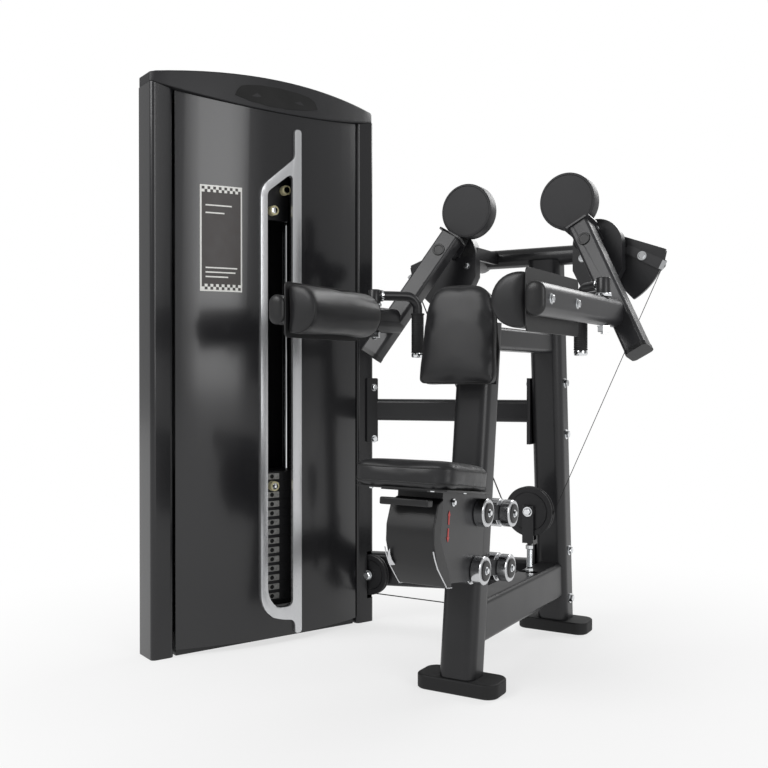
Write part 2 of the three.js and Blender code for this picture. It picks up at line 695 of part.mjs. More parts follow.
// Yoke of the floating pulley, with its turnbuckle and shaft
const yokeHalf = 16;
const yokeBlock = 9;
const turnbuckleRadius = 6.5;
const yokeEnd = 184;
function yoke() {
  const low = floatingPulleyZ - floatingPulleyRadius - yokeBlock;
  const plates = [1, -1].map((side) => {
    const a = cablePlane + side * cheekGap;
    const b = a + side * cheek;
    return box(-yokeHalf, yokeHalf, Math.min(a, b), Math.max(a, b), low, floatingPulleyZ + yokeHalf);
  });
  const far = cheekGap + cheek;
  return together(plates[0], plates[1],
    box(-yokeHalf, yokeHalf, cablePlane - far, cablePlane + far, low - yokeBlock, low),
    rod([0, cablePlane - far - fit, floatingPulleyZ], [0, cablePlane + far + fit, floatingPulleyZ], axlePin, 12),
    rod([0, cablePlane, yokeEnd], [0, cablePlane, low], turnbuckleRadius, 14));
}
piece('floating_pulley_yoke', yoke(), frameBlack);

// Tower frame: x runs along its width, y towards its back. It stands so that the vertical
// cable inside its right post lies in the plane of the other cables.
const towerHalf = towerWidth / 2;
const runX = towerHalf - towerPostWidth / 2 - 3;
const runY = 58;
const towerTurn = rad(towerTurnDeg);
const towerY = cablePlane - runX * Math.sin(towerTurn) - runY * Math.cos(towerTurn);
const tower = new THREE.Group();
tower.position.set(towerX, towerY, 0);
tower.rotation.z = towerTurn;
object.add(tower);
const toWorld = (x, y, z) => new THREE.Vector3(
  towerX + x * Math.cos(towerTurn) - y * Math.sin(towerTurn),
  towerY + x * Math.sin(towerTurn) + y * Math.cos(towerTurn), z);
const inTower = (body) => body.translate([-towerX, -towerY, 0]).rotate([0, 0, -towerTurnDeg]);
const fromTower = (body) => body.rotate([0, 0, towerTurnDeg]).translate([towerX, towerY, 0]);

// The cap's lower edge and its arched top, across the width
const swoosh = (x) => towerEndTop - capEdge - capSag * (1 - (x / towerHalf) ** 2);
const arch = (x) => towerEndTop + towerCrown * (1 - (x / towerHalf) ** 2);
const steps = (count, from, to) => Array.from({ length: count + 1 }, (_, i) => from + (to - from) * i / count);
const across = steps(16, -towerHalf, towerHalf);
const postMiddleY = towerPostFront + towerPostDepth / 2;
const behind = (y) => 2 * postMiddleY - y;
const below = slabXZ(outline([
  [-towerHalf, 0], [towerHalf, 0], ...across.slice().reverse().map((x) => [x, swoosh(x) - fit])]),
-towerDepth, 2 * towerDepth);

const panelHalf = towerHalf - towerPostWidth - panelGap;
const panelRadius = (panelHalf ** 2 + panelBulge ** 2) / (2 * panelBulge);
const panelY = (x, inset) => {
  const radius = panelRadius - inset;
  return panelEdgeY - panelBulge + panelRadius - Math.sqrt(radius ** 2 - x ** 2);
};
const panelXs = steps(20, -panelHalf, panelHalf);
function panelSlab(outerInset, innerInset, bottom) {
  const outer = panelXs.map((x) => [x, panelY(x, outerInset)]);
  const inner = panelXs.slice().reverse().map((x) => [x, panelY(x, innerInset)]);
  const geometry = extrude(outline([...outer, ...inner]), towerEndTop - bottom);
  geometry.translate(0, 0, bottom);
  return solid(geometry);
}

// The window in the panel, and the bezel round it
const windowLeft = -39;
const windowRight = 40;
const windowBottom = 106;
const windowTopLeft = 1232;
const windowTopRight = 1280;
const bezelLeft = -59;
const bezelRight = 69;
const bezelStem = 48;
const bezelBottom = 80;
const bezelShoulder = 1243;
const bezelNeck = 1336;
const bezelTop = 1418;
const bezelTail = 20;
const bezelDepth = 9;
const bezelCorner = 26;
function windowShape() {
  const shape = new THREE.Shape();
  shape.moveTo(windowLeft, windowBottom + bezelCorner);
  shape.quadraticCurveTo(windowLeft, windowBottom, windowLeft + bezelCorner, windowBottom);
  shape.lineTo(windowRight, windowBottom);
  shape.lineTo(windowRight, windowTopRight);
  shape.lineTo(windowRight - bezelCorner / 2, windowTopRight + bezelCorner / 2);
  shape.lineTo(windowLeft, windowTopLeft);
  return shape;
}
function bezelShape() {
  const shape = new THREE.Shape();
  const stemMiddle = (bezelStem + bezelRight) / 2;
  const stemHalf = (bezelRight - bezelStem) / 2;
  shape.moveTo(bezelLeft, bezelBottom + bezelCorner);
  shape.lineTo(bezelLeft + bezelCorner, bezelBottom);
  shape.lineTo(bezelStem - stemHalf, bezelBottom - stemHalf);
  shape.lineTo(bezelStem, bezelBottom - 3 * stemHalf);
  shape.absarc(stemMiddle, bezelTail + stemHalf, stemHalf, Math.PI, 2 * Math.PI);
  shape.absarc(stemMiddle, bezelTop - stemHalf, stemHalf, 0, Math.PI);
  shape.lineTo(bezelStem, bezelNeck);
  shape.lineTo(bezelLeft + stemHalf, bezelShoulder + stemHalf);
  shape.lineTo(bezelLeft, bezelShoulder);
  return shape;
}
const windowCut = slabXZ(windowShape(), -towerDepth / 2, panelEdgeY + overrun);
const panel = panelSlab(0, panelThickness, panelBottom).intersect(below).subtract(windowCut);
piece('front_shroud', panel, towerGrey, tower);
const bezel = slabXZ(bezelShape(), -panelBulge - 2 * bezelDepth, 0)
  .intersect(panelSlab(-bezelDepth, -fit, 0))
  .subtract(windowCut);
piece('slot_bezel', bezel, satinSilver, tower);

// Posts: D-section tubes, the right one slotted for the low pulley
const postMiddle = towerHalf - towerPostWidth / 2;
const towerPostShape = (inset) =>
  roundedOutline(towerPostWidth - 2 * inset, towerPostDepth - 2 * inset, towerPostCorner - inset);
function towerPost(side) {
  const place = (geometry) => solid(geometry.translate(side * postMiddle, postMiddleY, 0));
  const outer = place(extrude(towerPostShape(0), towerEndTop));
  const inner = place(extrude(towerPostShape(towerPostWall), 2 * towerEndTop)
    .translate(0, 0, -overrun));
  return outer.subtract(inner).intersect(below);
}
const runWorld = toWorld(runX, runY, 0);
const towerPulleyX = runWorld.x + lowPulleyRadius + cableOut;
const pulleyRoom = box(towerPulleyX - lowPulleyRadius - overrun, towerPulleyX + lowPulleyRadius + overrun,
  cablePlane - pocketHalf, cablePlane + pocketHalf,
  lowPulleyZ - lowPulleyRadius - overrun / 2, lowPulleyZ + lowPulleyRadius + overrun / 2);
const towerAxle = (radius) => rod([towerPulleyX, cablePlane - cheekGap - cheek, lowPulleyZ],
  [towerPulleyX, cablePlane + 3 * cheekGap, lowPulleyZ], radius, 12);
const lowRoom = inTower(pulleyRoom.add(towerAxle(axlePin + fit)));
piece('tower_post_left', towerPost(-1), towerGrey, tower);
const topCableOut = topPulleyRadius + cableOut;
const topPulleyZ = topBeamBottom + topBeamHeight + topPulleyRadius + 5;
const outerPulleyX = runX - topCableOut;
const notchHalf = cheekGap + cheek + 2;
const topNotch = box(outerPulleyX, outerPulleyX + topPulleyRadius + 3, runY - notchHalf, runY + notchHalf,
  topBeamBottom, towerEndTop);
piece('tower_post_right', towerPost(1).subtract(lowRoom).subtract(topNotch), towerGrey, tower);
piece('tower_low_pulley', pulley(towerPulleyX, cablePlane, lowPulleyZ, lowPulleyRadius), plasticBlack);

// Rear shroud: the front one's bowed sheet, turned round behind the posts
const rearShroud = () => panelSlab(0, panelThickness, panelBottom).intersect(below)
  .mirror([0, 1, 0]).translate([0, 2 * postMiddleY, 0]);
piece('rear_shroud', rearShroud(), towerGrey, tower);

// Cap
function topCap() {
  const profile = slabXZ(outline([
    ...across.map((x) => [x, swoosh(x)]), ...across.slice().reverse().map((x) => [x, arch(x)])]),
  -towerDepth, 2 * towerDepth);
  const straight = towerHalf - towerPostCorner;
  const bow = steps(20, -straight, straight).map((x) =>
    [x, towerPostFront - capBulge * (1 - (x / straight) ** 2)]);
  const side = towerPostFront + towerPostCorner;
  const front = [[-towerHalf, side], ...bow, [towerHalf, side]];
  const plan = outline([...front, ...front.slice().reverse().map(([x, y]) => [x, behind(y)])]);
  return profile.intersect(solid(extrude(plan, 2 * towerEndTop)));
}
piece('top_cap', topCap(), capBlack, tower);

// Inside: base, guide rods, top beam with its pulleys, and the weight stack
const insideHalf = panelHalf - panelGap;
const insideFront = panelEdgeY + 2 * panelThickness;
const insideBack = behind(insideFront);
const plinthHalf = plateWidth / 2;
const stackY = runY;
function towerBase() {
  return together(
    box(-insideHalf, insideHalf, insideFront, insideBack, 0, towerBaseHeight),
    box(stackX - plinthHalf, stackX + plinthHalf, insideFront, insideBack,
      towerBaseHeight - fit, stackBottom - fit));
}
piece('tower_base', towerBase().subtract(rodHoles(0, stackBottom + overrun, fit)), frameBlack, tower);
function rodHoles(from, to, spare) {
  const hole = (x) => rod([x, stackY, from], [x, stackY, to], rodRadius + spare, 14);
  return hole(stackX - rodSpacing / 2).add(hole(stackX + rodSpacing / 2));
}
for (const [side, name] of [[-1, 'left'], [1, 'right']]) {
  const x = stackX + side * rodSpacing / 2;
  piece(`guide_rod_${name}`, rod([x, stackY, overrun / 2], [x, stackY, topBeamBottom - fit], rodRadius, 14),
    chromeBright, tower);
}
const innerPulleyX = stackX + topCableOut;
const stemRoom = (spare) => rod([stackX, stackY, 0], [stackX, stackY, towerEndTop], rodRadius + spare, 14);
const topBeam = without(together(
  box(-insideHalf, insideHalf, stackY - plateDepth / 4, stackY + plateDepth / 4,
    topBeamBottom, topBeamBottom + topBeamHeight),
  ...[innerPulleyX, outerPulleyX].map((x) => cheeks(x, stackY, topPulleyZ, x).add(
    box(x - cheekHalf, x + cheekHalf, stackY - cheekGap - cheek, stackY - cheekGap,
      topBeamBottom, topPulleyZ)).add(
    box(x - cheekHalf, x + cheekHalf, stackY + cheekGap, stackY + cheekGap + cheek,
      topBeamBottom, topPulleyZ)))), stemRoom(0));
piece('tower_top_beam', topBeam, frameBlack, tower);
piece('top_pulley_inner', pulley(innerPulleyX, stackY, topPulleyZ, topPulleyRadius), plasticBlack, tower);
piece('top_pulley_outer', pulley(outerPulleyX, stackY, topPulleyZ, topPulleyRadius), plasticBlack, tower);

const plateHeight = platePitch - fit;
const plateBottom = (n) => stackBottom + (stackPlates - 1 - n) * platePitch;
const stemRadius = 11;
const pinRadius = 5;
const pinHole = 5.6;
const pinZ = plateBottom(1) + plateHeight / 2;
function plateBlock(n) {
  return box(stackX - plateWidth / 2, stackX + plateWidth / 2, stackY - plateDepth / 2, stackY + plateDepth / 2,
    plateBottom(n), plateBottom(n) + plateHeight);
}
const rodRoom = rodHoles(0, towerEndTop, 1);
const stemTop = plateBottom(0) + plateHeight + 2 * platePitch;
const stem = rod([stackX, stackY, plateBottom(3)], [stackX, stackY, stemTop], stemRadius, 14);
piece('head_plate', plateBlock(0).subtract(rodRoom).add(stem), castBlack, tower);
const secondPlate = plateBlock(1).subtract(rodRoom).subtract(stemRoom(0))
  .subtract(rod([stackX, stackY - plateDepth, pinZ], [stackX, stackY, pinZ], pinHole, 10));
piece('weight_plate_second', secondPlate, castBlack, tower);
function restingStack() {
  const bridge = box(stackX - plateWidth / 2 + 4, stackX + plateWidth / 2 - 4,
    stackY - plateDepth / 2 + 4, stackY + plateDepth / 2 - 4, stackBottom + 4,
    plateBottom(2) + plateHeight - 4);
  const plates = Array.from({ length: stackPlates - 2 }, (_, i) => plateBlock(i + 2));
  return together(bridge, ...plates).subtract(rodRoom).subtract(stemRoom(0));
}
piece('weight_stack', restingStack(), castBlack, tower);
const knobRadius = 14;
const knobLength = 20;
const pinFront = stackY - plateDepth / 2;
function knobPin(x, z, reach, front) {
  return together(rod([x, front - knobLength, z], [x, front - fit, z], knobRadius, 14),
    rod([x, front - knobLength / 2, z], [x, front + reach, z], pinRadius, 10));
}
piece('selector_pin', knobPin(stackX, pinZ, plateDepth / 2 - rodRadius - 2, pinFront), chromeBright, tower);
const addOnPlaces = [['upper', 49, 1258], ['lower', 10, 1197]];
const addOnFront = insideFront + 6;
const addOnThickness = 10;
const addOnHalf = 62;
const addOnDrop = 146;
const addOnHoles = addOnPlaces.map(([, x, z]) =>
  rod([x, addOnFront - overrun, z], [x, addOnFront + overrun, z], pinHole, 10));
const addOnPlate = without(box(windowLeft - overrun, windowLeft - overrun + 2 * addOnHalf, addOnFront,
  addOnFront + addOnThickness, topBeamBottom - addOnDrop, topBeamBottom + topBeamHeight), ...addOnHoles)
  .add(box(windowLeft, windowRight, addOnFront, stackY - plateDepth / 4 - fit,
    topBeamBottom, topBeamBottom + topBeamHeight));
piece('add_on_weight_plate', addOnPlate, frameBlack, tower);
for (const [name, x, z] of addOnPlaces) {
  piece(`add_on_pin_${name}`, knobPin(x, z, addOnThickness + 4, addOnFront), chromeBright, tower);
}

// Beams that join the tower to the rear post, each with a flange at both ends
function tieBeam(z, width, height) {
  const start = toWorld(postMiddle, postMiddleY + towerPostDepth / 2 - 6, z);
  const end = [0, rearPostY(z), z];
  const beam = bar(start.toArray(), end, roundedOutline(width, height, beamCorner), [0, 0, 1], 3);
  const towerFlange = fromTower(box(towerHalf + fit, towerHalf + fit + flangeThickness,
    postMiddleY - towerPostDepth / 5, postMiddleY + towerPostDepth / 2, z - flangeHeight / 2, z + flangeHeight / 2));
  const side = -postAcross / 2 - fit;
  const rearFlange = box(side - flangeThickness, side, rearPostY(z) - flangeWidth / 2,
    rearPostY(z) + flangeWidth / 2, z - flangeHeight / 2, z + flangeHeight / 2);
  const outside = fromTower(box(towerHalf + fit, 3 * towerHalf, -3 * towerHalf, 3 * towerHalf, 0, towerEndTop));
  const beforePost = box(-3 * towerHalf, side, -3 * towerHalf, 3 * towerHalf, 0, towerEndTop);
  return together(beam, towerFlange, rearFlange).intersect(outside).intersect(beforePost);
}
piece('mid_beam', tieBeam(midBeamZ, midBeamWidth, midBeamHeight), frameBlack);
const lowBeam = tieBeam(lowBeamZ, lowBeamWidth, lowBeamHeight);
piece('low_beam', lowBeam.subtract(pulleyRoom).add(towerAxle(axlePin)), frameBlack);

// Cables. Angles in the cable plane are measured from +X towards +Z.
const arc = (x, z, radius, fromDeg, toDeg, place) => {
  const count = Math.max(2, Math.ceil(Math.abs(toDeg - fromDeg) / arcStepDeg));
  return steps(count, fromDeg, toDeg).map((a) => place(
    x + radius * Math.cos(rad(a)), z + radius * Math.sin(rad(a))));
};
const inPlane = (x, z) => new THREE.Vector3(x, cablePlane, z);
const camCable = camRadius + cableRadius + cableFit;
const floatCable = floatingPulleyRadius + cableOut;
const legSpan = Math.hypot(pivotX, pivotHeight - floatingPulleyZ);
const legAngle = Math.atan2(pivotHeight - floatingPulleyZ, pivotX) - Math.asin((camCable - floatCable) / legSpan);
const leaveDeg = THREE.MathUtils.radToDeg(legAngle) - 90;
const rightLeg = [
  ...arc(pivotX, pivotHeight, camCable, camFirstDeg - 2, leaveDeg, inPlane),
  ...arc(0, floatingPulleyZ, floatCable, leaveDeg, -90, inPlane)];
const leftLeg = rightLeg.slice(0, -1).reverse().map((p) => inPlane(-p.x, p.z));
piece('arm_cable', tube([...rightLeg, ...leftLeg], cableRadius, cableSides), cableBlack);

const lowCable = lowPulleyRadius + cableOut;
const inTop = (x, z) => toWorld(x, stackY, z);
const mainRoute = [
  ...arc(lowPulleyX, lowPulleyZ, lowCable, 0, -90, inPlane),
  ...arc(towerPulleyX, lowPulleyZ, lowCable, -90, -180, inPlane),
  ...arc(outerPulleyX, topPulleyZ, topCableOut, 0, 90, inTop),
  ...arc(innerPulleyX, topPulleyZ, topCableOut, 90, 180, inTop)];
piece('main_cable', tube(mainRoute, cableRadius, cableSides), cableBlack);
piece('yoke_cable', rod([0, cablePlane, lowPulleyZ + fit], [0, cablePlane, yokeEnd - fit], cableRadius, cableSides), cableBlack);
piece('stack_cable', rod([stackX, stackY, stemTop + fit], [stackX, stackY, topPulleyZ - fit], cableRadius, cableSides),
  cableBlack, tower);

export default object;
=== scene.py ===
# Looks of the lateral raise machine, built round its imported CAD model. Metres, in the model's own frame.
import json
import math

import bmesh
import bpy
import numpy as np
from mathutils import Matrix, Vector


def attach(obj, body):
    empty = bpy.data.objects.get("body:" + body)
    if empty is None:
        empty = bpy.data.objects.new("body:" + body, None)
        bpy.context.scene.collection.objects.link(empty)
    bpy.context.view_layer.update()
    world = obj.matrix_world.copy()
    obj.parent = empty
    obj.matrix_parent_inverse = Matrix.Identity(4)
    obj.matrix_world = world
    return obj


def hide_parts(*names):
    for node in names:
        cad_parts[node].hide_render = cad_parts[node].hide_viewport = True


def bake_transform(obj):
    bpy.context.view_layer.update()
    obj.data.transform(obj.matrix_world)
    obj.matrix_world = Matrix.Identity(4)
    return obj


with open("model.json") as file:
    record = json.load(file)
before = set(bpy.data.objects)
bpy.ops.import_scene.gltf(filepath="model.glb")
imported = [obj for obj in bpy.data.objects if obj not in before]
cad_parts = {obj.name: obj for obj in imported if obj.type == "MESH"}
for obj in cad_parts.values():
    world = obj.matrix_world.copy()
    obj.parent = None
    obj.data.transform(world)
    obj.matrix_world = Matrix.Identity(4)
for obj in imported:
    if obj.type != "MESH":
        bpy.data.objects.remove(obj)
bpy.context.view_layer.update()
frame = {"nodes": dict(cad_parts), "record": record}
nodes = frame["nodes"]
scene = bpy.context.scene
scene.view_settings.view_transform = "Standard"
body_of = {n: b for b, members in frame["record"]["behaviour"]["bodies"].items() for n in members}
slot_of = {part["node"]: part["material_slot"] for part in frame["record"]["subparts"]}

# Directions and the two sides, seen by the seated user
RIGHTWARD, LEFTWARD = (1, 0, 0), (-1, 0, 0)
FORWARD, BACKWARD = (0, 1, 0), (0, -1, 0)
UPWARD, DOWNWARD = (0, 0, 1), (0, 0, -1)
SIDES = {"right": 1, "left": -1}

# Frames that pieces are drawn in: upright, leaning with the posts, and the tower's own
UPRIGHT = Matrix.Identity(4)
LEANING = Matrix.Rotation(math.radians(-7.4), 4, "X")
TOWER = Matrix.Translation((-0.638, 0.11942, 0)) @ Matrix.Rotation(math.radians(66.3), 4, "Z")

# Sizes shared by several pieces, as in the model's source
CABLE_Y = 0.433
PAD_TUBE_X, PAD_TUBE_Z = 0.304, 0.882
HANDLE_Y = 0.116
BOARD_BOTTOM = 0.4585
STACK_X, STACK_FRONT = 0.006, 0.012
WELD = 2e-5

# Bolt heads: width across the flats, height, and thickness of the washer
BOLTS = {
    "pulley": (0.017, 0.008, 0.002), "tower_pulley": (0.019, 0.009, 0.002), "roller": (0.012, 0.0045, 0.001),
    "pad": (0.014, 0.005, 0.002), "cover": (0.013, 0.005, 0.0015), "strap": (0.015, 0.006, 0.002),
    "cam": (0.022, 0.0045, 0.0015), "beam_right": (0.018, 0.008, 0.002), "beam_left": (0.015, 0.01, 0.002),
    "bracket": (0.014, 0.007, 0.002), "chest": (0.01, 0.004, 0.001), "carriage": (0.011, 0.004, 0.002),
}


# Camera, at the photograph's viewing angle
def set_camera():
    data = bpy.data.cameras.new("camera")
    data.lens = 44.746
    data.sensor_width = 36
    camera = bpy.data.objects.new("camera", data)
    camera.location = (0.96867, -2.01828, 0.7319)
    camera.rotation_euler = (math.radians(89.59), 0, math.radians(30.24))
    scene.collection.objects.link(camera)
    scene.camera = camera


set_camera()


# Materials
def linear(value):
    """One channel of a screen colour, from 0 to 255, as linear light."""
    v = value / 255
    return v / 12.92 if v <= 0.04045 else ((v + 0.055) / 1.055) ** 2.4


def colour(r, g, b):
    return (linear(r), linear(g), linear(b), 1)


def finish(name, tone, rough, metal=0.0, spread=0.1, blotch=14, bump=0.0, grain=900, coat=0.0, sheen=0.0,
           stretch=(1, 1, 1), cells=False, shine=0.5):
    """A finish whose colour and roughness vary in soft blotches, with a fine raised grain."""
    coat_roughness, sheen_roughness, roughness_spread, grain_height = 0.12, 0.5, 0.15, 0.0004
    made = bpy.data.materials.new(name)
    made.use_nodes = True
    tree = made.node_tree
    shader = tree.nodes["Principled BSDF"]
    shader.inputs["Metallic"].default_value = metal
    shader.inputs["Specular IOR Level"].default_value = shine
    shader.inputs["Coat Weight"].default_value = coat
    shader.inputs["Coat Roughness"].default_value = coat_roughness
    shader.inputs["Sheen Weight"].default_value = sheen
    shader.inputs["Sheen Roughness"].default_value = sheen_roughness
    place = tree.nodes.new("ShaderNodeTexCoord")
    mapping = tree.nodes.new("ShaderNodeMapping")
    mapping.inputs["Scale"].default_value = stretch
    tree.links.new(place.outputs["Object"], mapping.inputs["Vector"])
    cloud = tree.nodes.new("ShaderNodeTexNoise")
    cloud.inputs["Scale"].default_value = blotch
    cloud.inputs["Detail"].default_value = 4
    tree.links.new(mapping.outputs["Vector"], cloud.inputs["Vector"])
    ramp = tree.nodes.new("ShaderNodeValToRGB")
    darker, lighter = ramp.color_ramp.elements
    darker.position = 0.3
    lighter.position = 0.7
    darker.color = (*[c * (1 - spread) for c in tone[:3]], 1)
    lighter.color = (*[min(1, c * (1 + spread)) for c in tone[:3]], 1)
    tree.links.new(cloud.outputs["Fac"], ramp.inputs["Fac"])
    tree.links.new(ramp.outputs["Color"], shader.inputs["Base Color"])
    matte = tree.nodes.new("ShaderNodeMapRange")
    matte.inputs["To Min"].default_value = rough * (1 - roughness_spread)
    matte.inputs["To Max"].default_value = min(1, rough * (1 + roughness_spread))
    tree.links.new(cloud.outputs["Fac"], matte.inputs["Value"])
    tree.links.new(matte.outputs["Result"], shader.inputs["Roughness"])
    if bump:
        if cells:
            fine = tree.nodes.new("ShaderNodeTexVoronoi")
            fine.feature = "DISTANCE_TO_EDGE"
            height = fine.outputs["Distance"]
        else:
            fine = tree.nodes.new("ShaderNodeTexNoise")
            fine.inputs["Detail"].default_value = 2
            height = fine.outputs["Fac"]
        fine.inputs["Scale"].default_value = grain
        tree.links.new(place.outputs["Object"], fine.inputs["Vector"])
        raised = tree.nodes.new("ShaderNodeBump")
        raised.inputs["Strength"].default_value = bump
        raised.inputs["Distance"].default_value = grain_height
        tree.links.new(height, raised.inputs["Height"])
        tree.links.new(raised.outputs["Normal"], shader.inputs["Normal"])
    return made


powder = finish("powder_coat", colour(27, 27, 29), 0.36, spread=0.14, bump=0.12, grain=700, coat=0.12,
                shine=0.35)
arm_grey = finish("arm_paint", colour(36, 36, 38), 0.4, spread=0.1, bump=0.12, grain=700, coat=0.12,
                  shine=0.4)
panel_grey = finish("panel_paint", colour(28, 28, 30), 0.2, metal=0.1, spread=0.08, blotch=3, bump=0.03,
                    grain=300, coat=0.3, stretch=(1, 1, 0.25), shine=0.45)
post_grey = finish("post_paint", colour(28, 28, 30), 0.26, metal=0.1, spread=0.08, blotch=4, bump=0.04,
                   grain=400, coat=0.25, stretch=(1, 1, 0.3), shine=0.4)
charcoal = finish("cap_plastic", colour(30, 30, 32), 0.45, spread=0.1, bump=0.25, grain=1200, shine=0.35)
silver = finish("satin_silver", colour(205, 206, 208), 0.26, metal=0.85, spread=0.05, blotch=8, bump=0.05,
                grain=500, stretch=(1, 1, 0.1))
silver_round = finish("turned_silver", colour(196, 197, 199), 0.2, metal=1.0, spread=0.05, blotch=8,
                      bump=0.04, grain=500)
chrome = finish("chrome", colour(218, 220, 222), 0.09, metal=1.0, spread=0.03)
leather = finish("vinyl", colour(18, 18, 20), 0.42, spread=0.16, blotch=22, bump=0.35, grain=650, coat=0.04,
                 sheen=0.03, cells=True, shine=0.4)
piping = finish("piping", colour(14, 14, 15), 0.5, spread=0.1, bump=0.2, grain=900, shine=0.35)
rubber = finish("rubber", colour(18, 18, 19), 0.62, spread=0.15, bump=0.25, grain=800, shine=0.35)
plastic = finish("black_plastic", colour(20, 20, 21), 0.4, spread=0.12, bump=0.15, grain=1100, shine=0.4)
pulley_black = finish("pulley_nylon", colour(24, 24, 26), 0.45, spread=0.1, bump=0.15, grain=900, shine=0.4)
cast = finish("weight_paint", colour(30, 30, 32), 0.5, spread=0.14, bump=0.25, grain=500, shine=0.4)
disc_grey = finish("disc_paint", colour(30, 30, 32), 0.5, spread=0.06, blotch=8, bump=0.15, grain=700,
                   shine=0.35)
cable_black = finish("cable_coat", colour(13, 13, 14), 0.45, spread=0.1, shine=0.35)
knob_cream = finish("knob_plastic", colour(226, 218, 176), 0.35, spread=0.05, blotch=40)
mark_pale = finish("pale_mark", colour(150, 150, 148), 0.5, spread=0.3, blotch=160)
# Near-black for pin holes and slots: painted shade standing in for their dark insides; the cap's dark patch
# uses it too
painted_shade_black = finish("painted_shade", colour(8, 8, 8), 0.8, spread=0.1)
brown_field = finish("placard_field", colour(30, 22, 20), 0.4, spread=0.2, blotch=40)
white_band = finish("placard_band", colour(214, 214, 210), 0.35, spread=0.03, blotch=40)
arrow_red = finish("arrow_paint", colour(170, 36, 30), 0.4, spread=0.05, blotch=60)
PAINT = {"frame_black": powder, "rubber_black": rubber, "pad_leather": leather, "tower_grey": panel_grey,
         "silver_bezel": silver, "cap_charcoal": charcoal, "chrome": chrome, "cast_weight": cast,
         "black_plastic": plastic, "cable_black": cable_black}
OWN_PAINT = {"left_arm": arm_grey, "right_arm": arm_grey, "tower_post_left": post_grey,
             "tower_post_right": post_grey, "rear_shroud": post_grey}


# Mesh helpers
def shade(mesh, sharp_degrees):
    mesh.polygons.foreach_set("use_smooth", [True] * len(mesh.polygons))
    mesh.set_sharp_from_angle(angle=math.radians(sharp_degrees))


def add(name, bm, material, body=None, slot=None, place=UPRIGHT, stands_for=(), sharp=38):
    """Turns bm, drawn in the frame place, into a piece that rides on its body."""
    bmesh.ops.recalc_face_normals(bm, faces=bm.faces)
    mesh = bpy.data.meshes.new(name)
    bm.to_mesh(mesh)
    bm.free()
    mesh.transform(place)
    shade(mesh, sharp)
    mesh.materials.append(material)
    made = bpy.data.objects.new(name, mesh)
    scene.collection.objects.link(made)
    if stands_for:
        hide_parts(*stands_for)
        body = body or body_of[stands_for[0]]
        slot = slot or slot_of[stands_for[0]]
    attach(made, body)
    return made


def node_mesh(node):
    """The CAD node's own shape, its vertices joined."""
    bm = bmesh.new()
    bm.from_mesh(nodes[node].data)
    bmesh.ops.remove_doubles(bm, verts=bm.verts, dist=WELD)
    return bm


def dress(node, edge=0.0012, turn=40, steps=2):
    """The CAD node's own shape with its flat facets joined, its edges eased and its rounds shaded smooth."""
    flat_degrees = 0.8
    bm = node_mesh(node)
    bmesh.ops.dissolve_limit(bm, angle_limit=math.radians(flat_degrees), verts=bm.verts, edges=bm.edges)
    sharp = [e for e in bm.edges if len(e.link_faces) == 2 and e.calc_face_angle(0) > math.radians(turn)]
    if edge and sharp:
        bmesh.ops.bevel(bm, geom=sharp, offset=edge, segments=steps, profile=0.6, affect="EDGES",
                        clamp_overlap=True)
    bmesh.ops.triangulate(bm, faces=[f for f in bm.faces if len(f.verts) > 4])
    made = add(node + "_finish", bm, OWN_PAINT.get(node, PAINT[slot_of[node]]), stands_for=(node,), sharp=48)
    weighted = made.modifiers.new("weighted", "WEIGHTED_NORMAL")
    weighted.keep_sharp = True


def basis(axis):
    """The axis and two directions square to it."""
    a = Vector(axis).normalized()
    first = a.orthogonal().normalized()
    if abs(a.z) < 0.9:
        first = Vector(UPWARD).cross(a).normalized()
    return a, first, a.cross(first)


def join_rings(bm, low, high):
    """A band of four-sided faces between two rings of as many vertices."""
    for i in range(len(low)):
        j = (i + 1) % len(low)
        bm.faces.new((low[i], low[j], high[j], high[i]))


def revolve(bm, at, axis, profile, sides=48, closed=False):
    """Turns a profile of (distance along the axis, radius) round an axis. Radius 0 closes it to a point."""
    a, u, v = basis(axis)
    at = Vector(at)
    turns = [2 * math.pi * i / sides for i in range(sides)]
    rings = []
    for along, radius in profile:
        if radius == 0:
            rings.append([bm.verts.new(at + a * along)])
        else:
            rings.append([bm.verts.new(at + a * along + (u * math.cos(t) + v * math.sin(t)) * radius)
                          for t in turns])
    pairs = list(zip(rings, rings[1:]))
    if closed:
        pairs.append((rings[-1], rings[0]))
    for low, high in pairs:
        for i in range(sides):
            j = (i + 1) % sides
            corners = [low[i % len(low)], low[j % len(low)], high[j % len(high)], high[i % len(high)]]
            face = [c for k, c in enumerate(corners) if c not in corners[:k]]
            if len(face) > 2:
                bm.faces.new(face)


def bolt(bm, at, axis, kind):
    """A hexagon head with a chamfered top on a round washer."""
    across, height, washer = BOLTS[kind]
    rim = across * 0.78
    corner = across / math.sqrt(3)
    top = washer + height
    revolve(bm, at, axis, [(0, rim), (washer, rim), (washer, 0)], 24)
    revolve(bm, at, axis, [(washer, 0), (washer, corner), (washer + height * 0.8, corner),
                           (top, corner * 0.84), (top, 0)], 6)


def slab(bm, outline, origin, u, v, depth, edge=0.0):
    """A flat plate: its outline is drawn along u and v from the origin, and it is depth thick along u x v."""
    u, v = Vector(u).normalized(), Vector(v).normalized()
    n = u.cross(v)
    origin = Vector(origin)
    levels = [(0, edge), (edge, 0), (depth - edge, 0), (depth, edge)] if edge else [(0, 0), (depth, 0)]
    middle = Vector((sum(p[0] for p in outline) / len(outline), sum(p[1] for p in outline) / len(outline)))
    rings = []
    for level, inset in levels:
        ring = []
        for x, y in outline:
            p = Vector((x, y)) - middle
            reach = p.length
            p = middle + p * ((reach - inset) / reach if reach > inset else 0)
            ring.append(bm.verts.new(origin + u * p.x + v * p.y + n * level))
        rings.append(ring)
    bm.faces.new(rings[0])
    bm.faces.new(rings[-1])
    for low, high in zip(rings, rings[1:]):
        join_rings(bm, low, high)


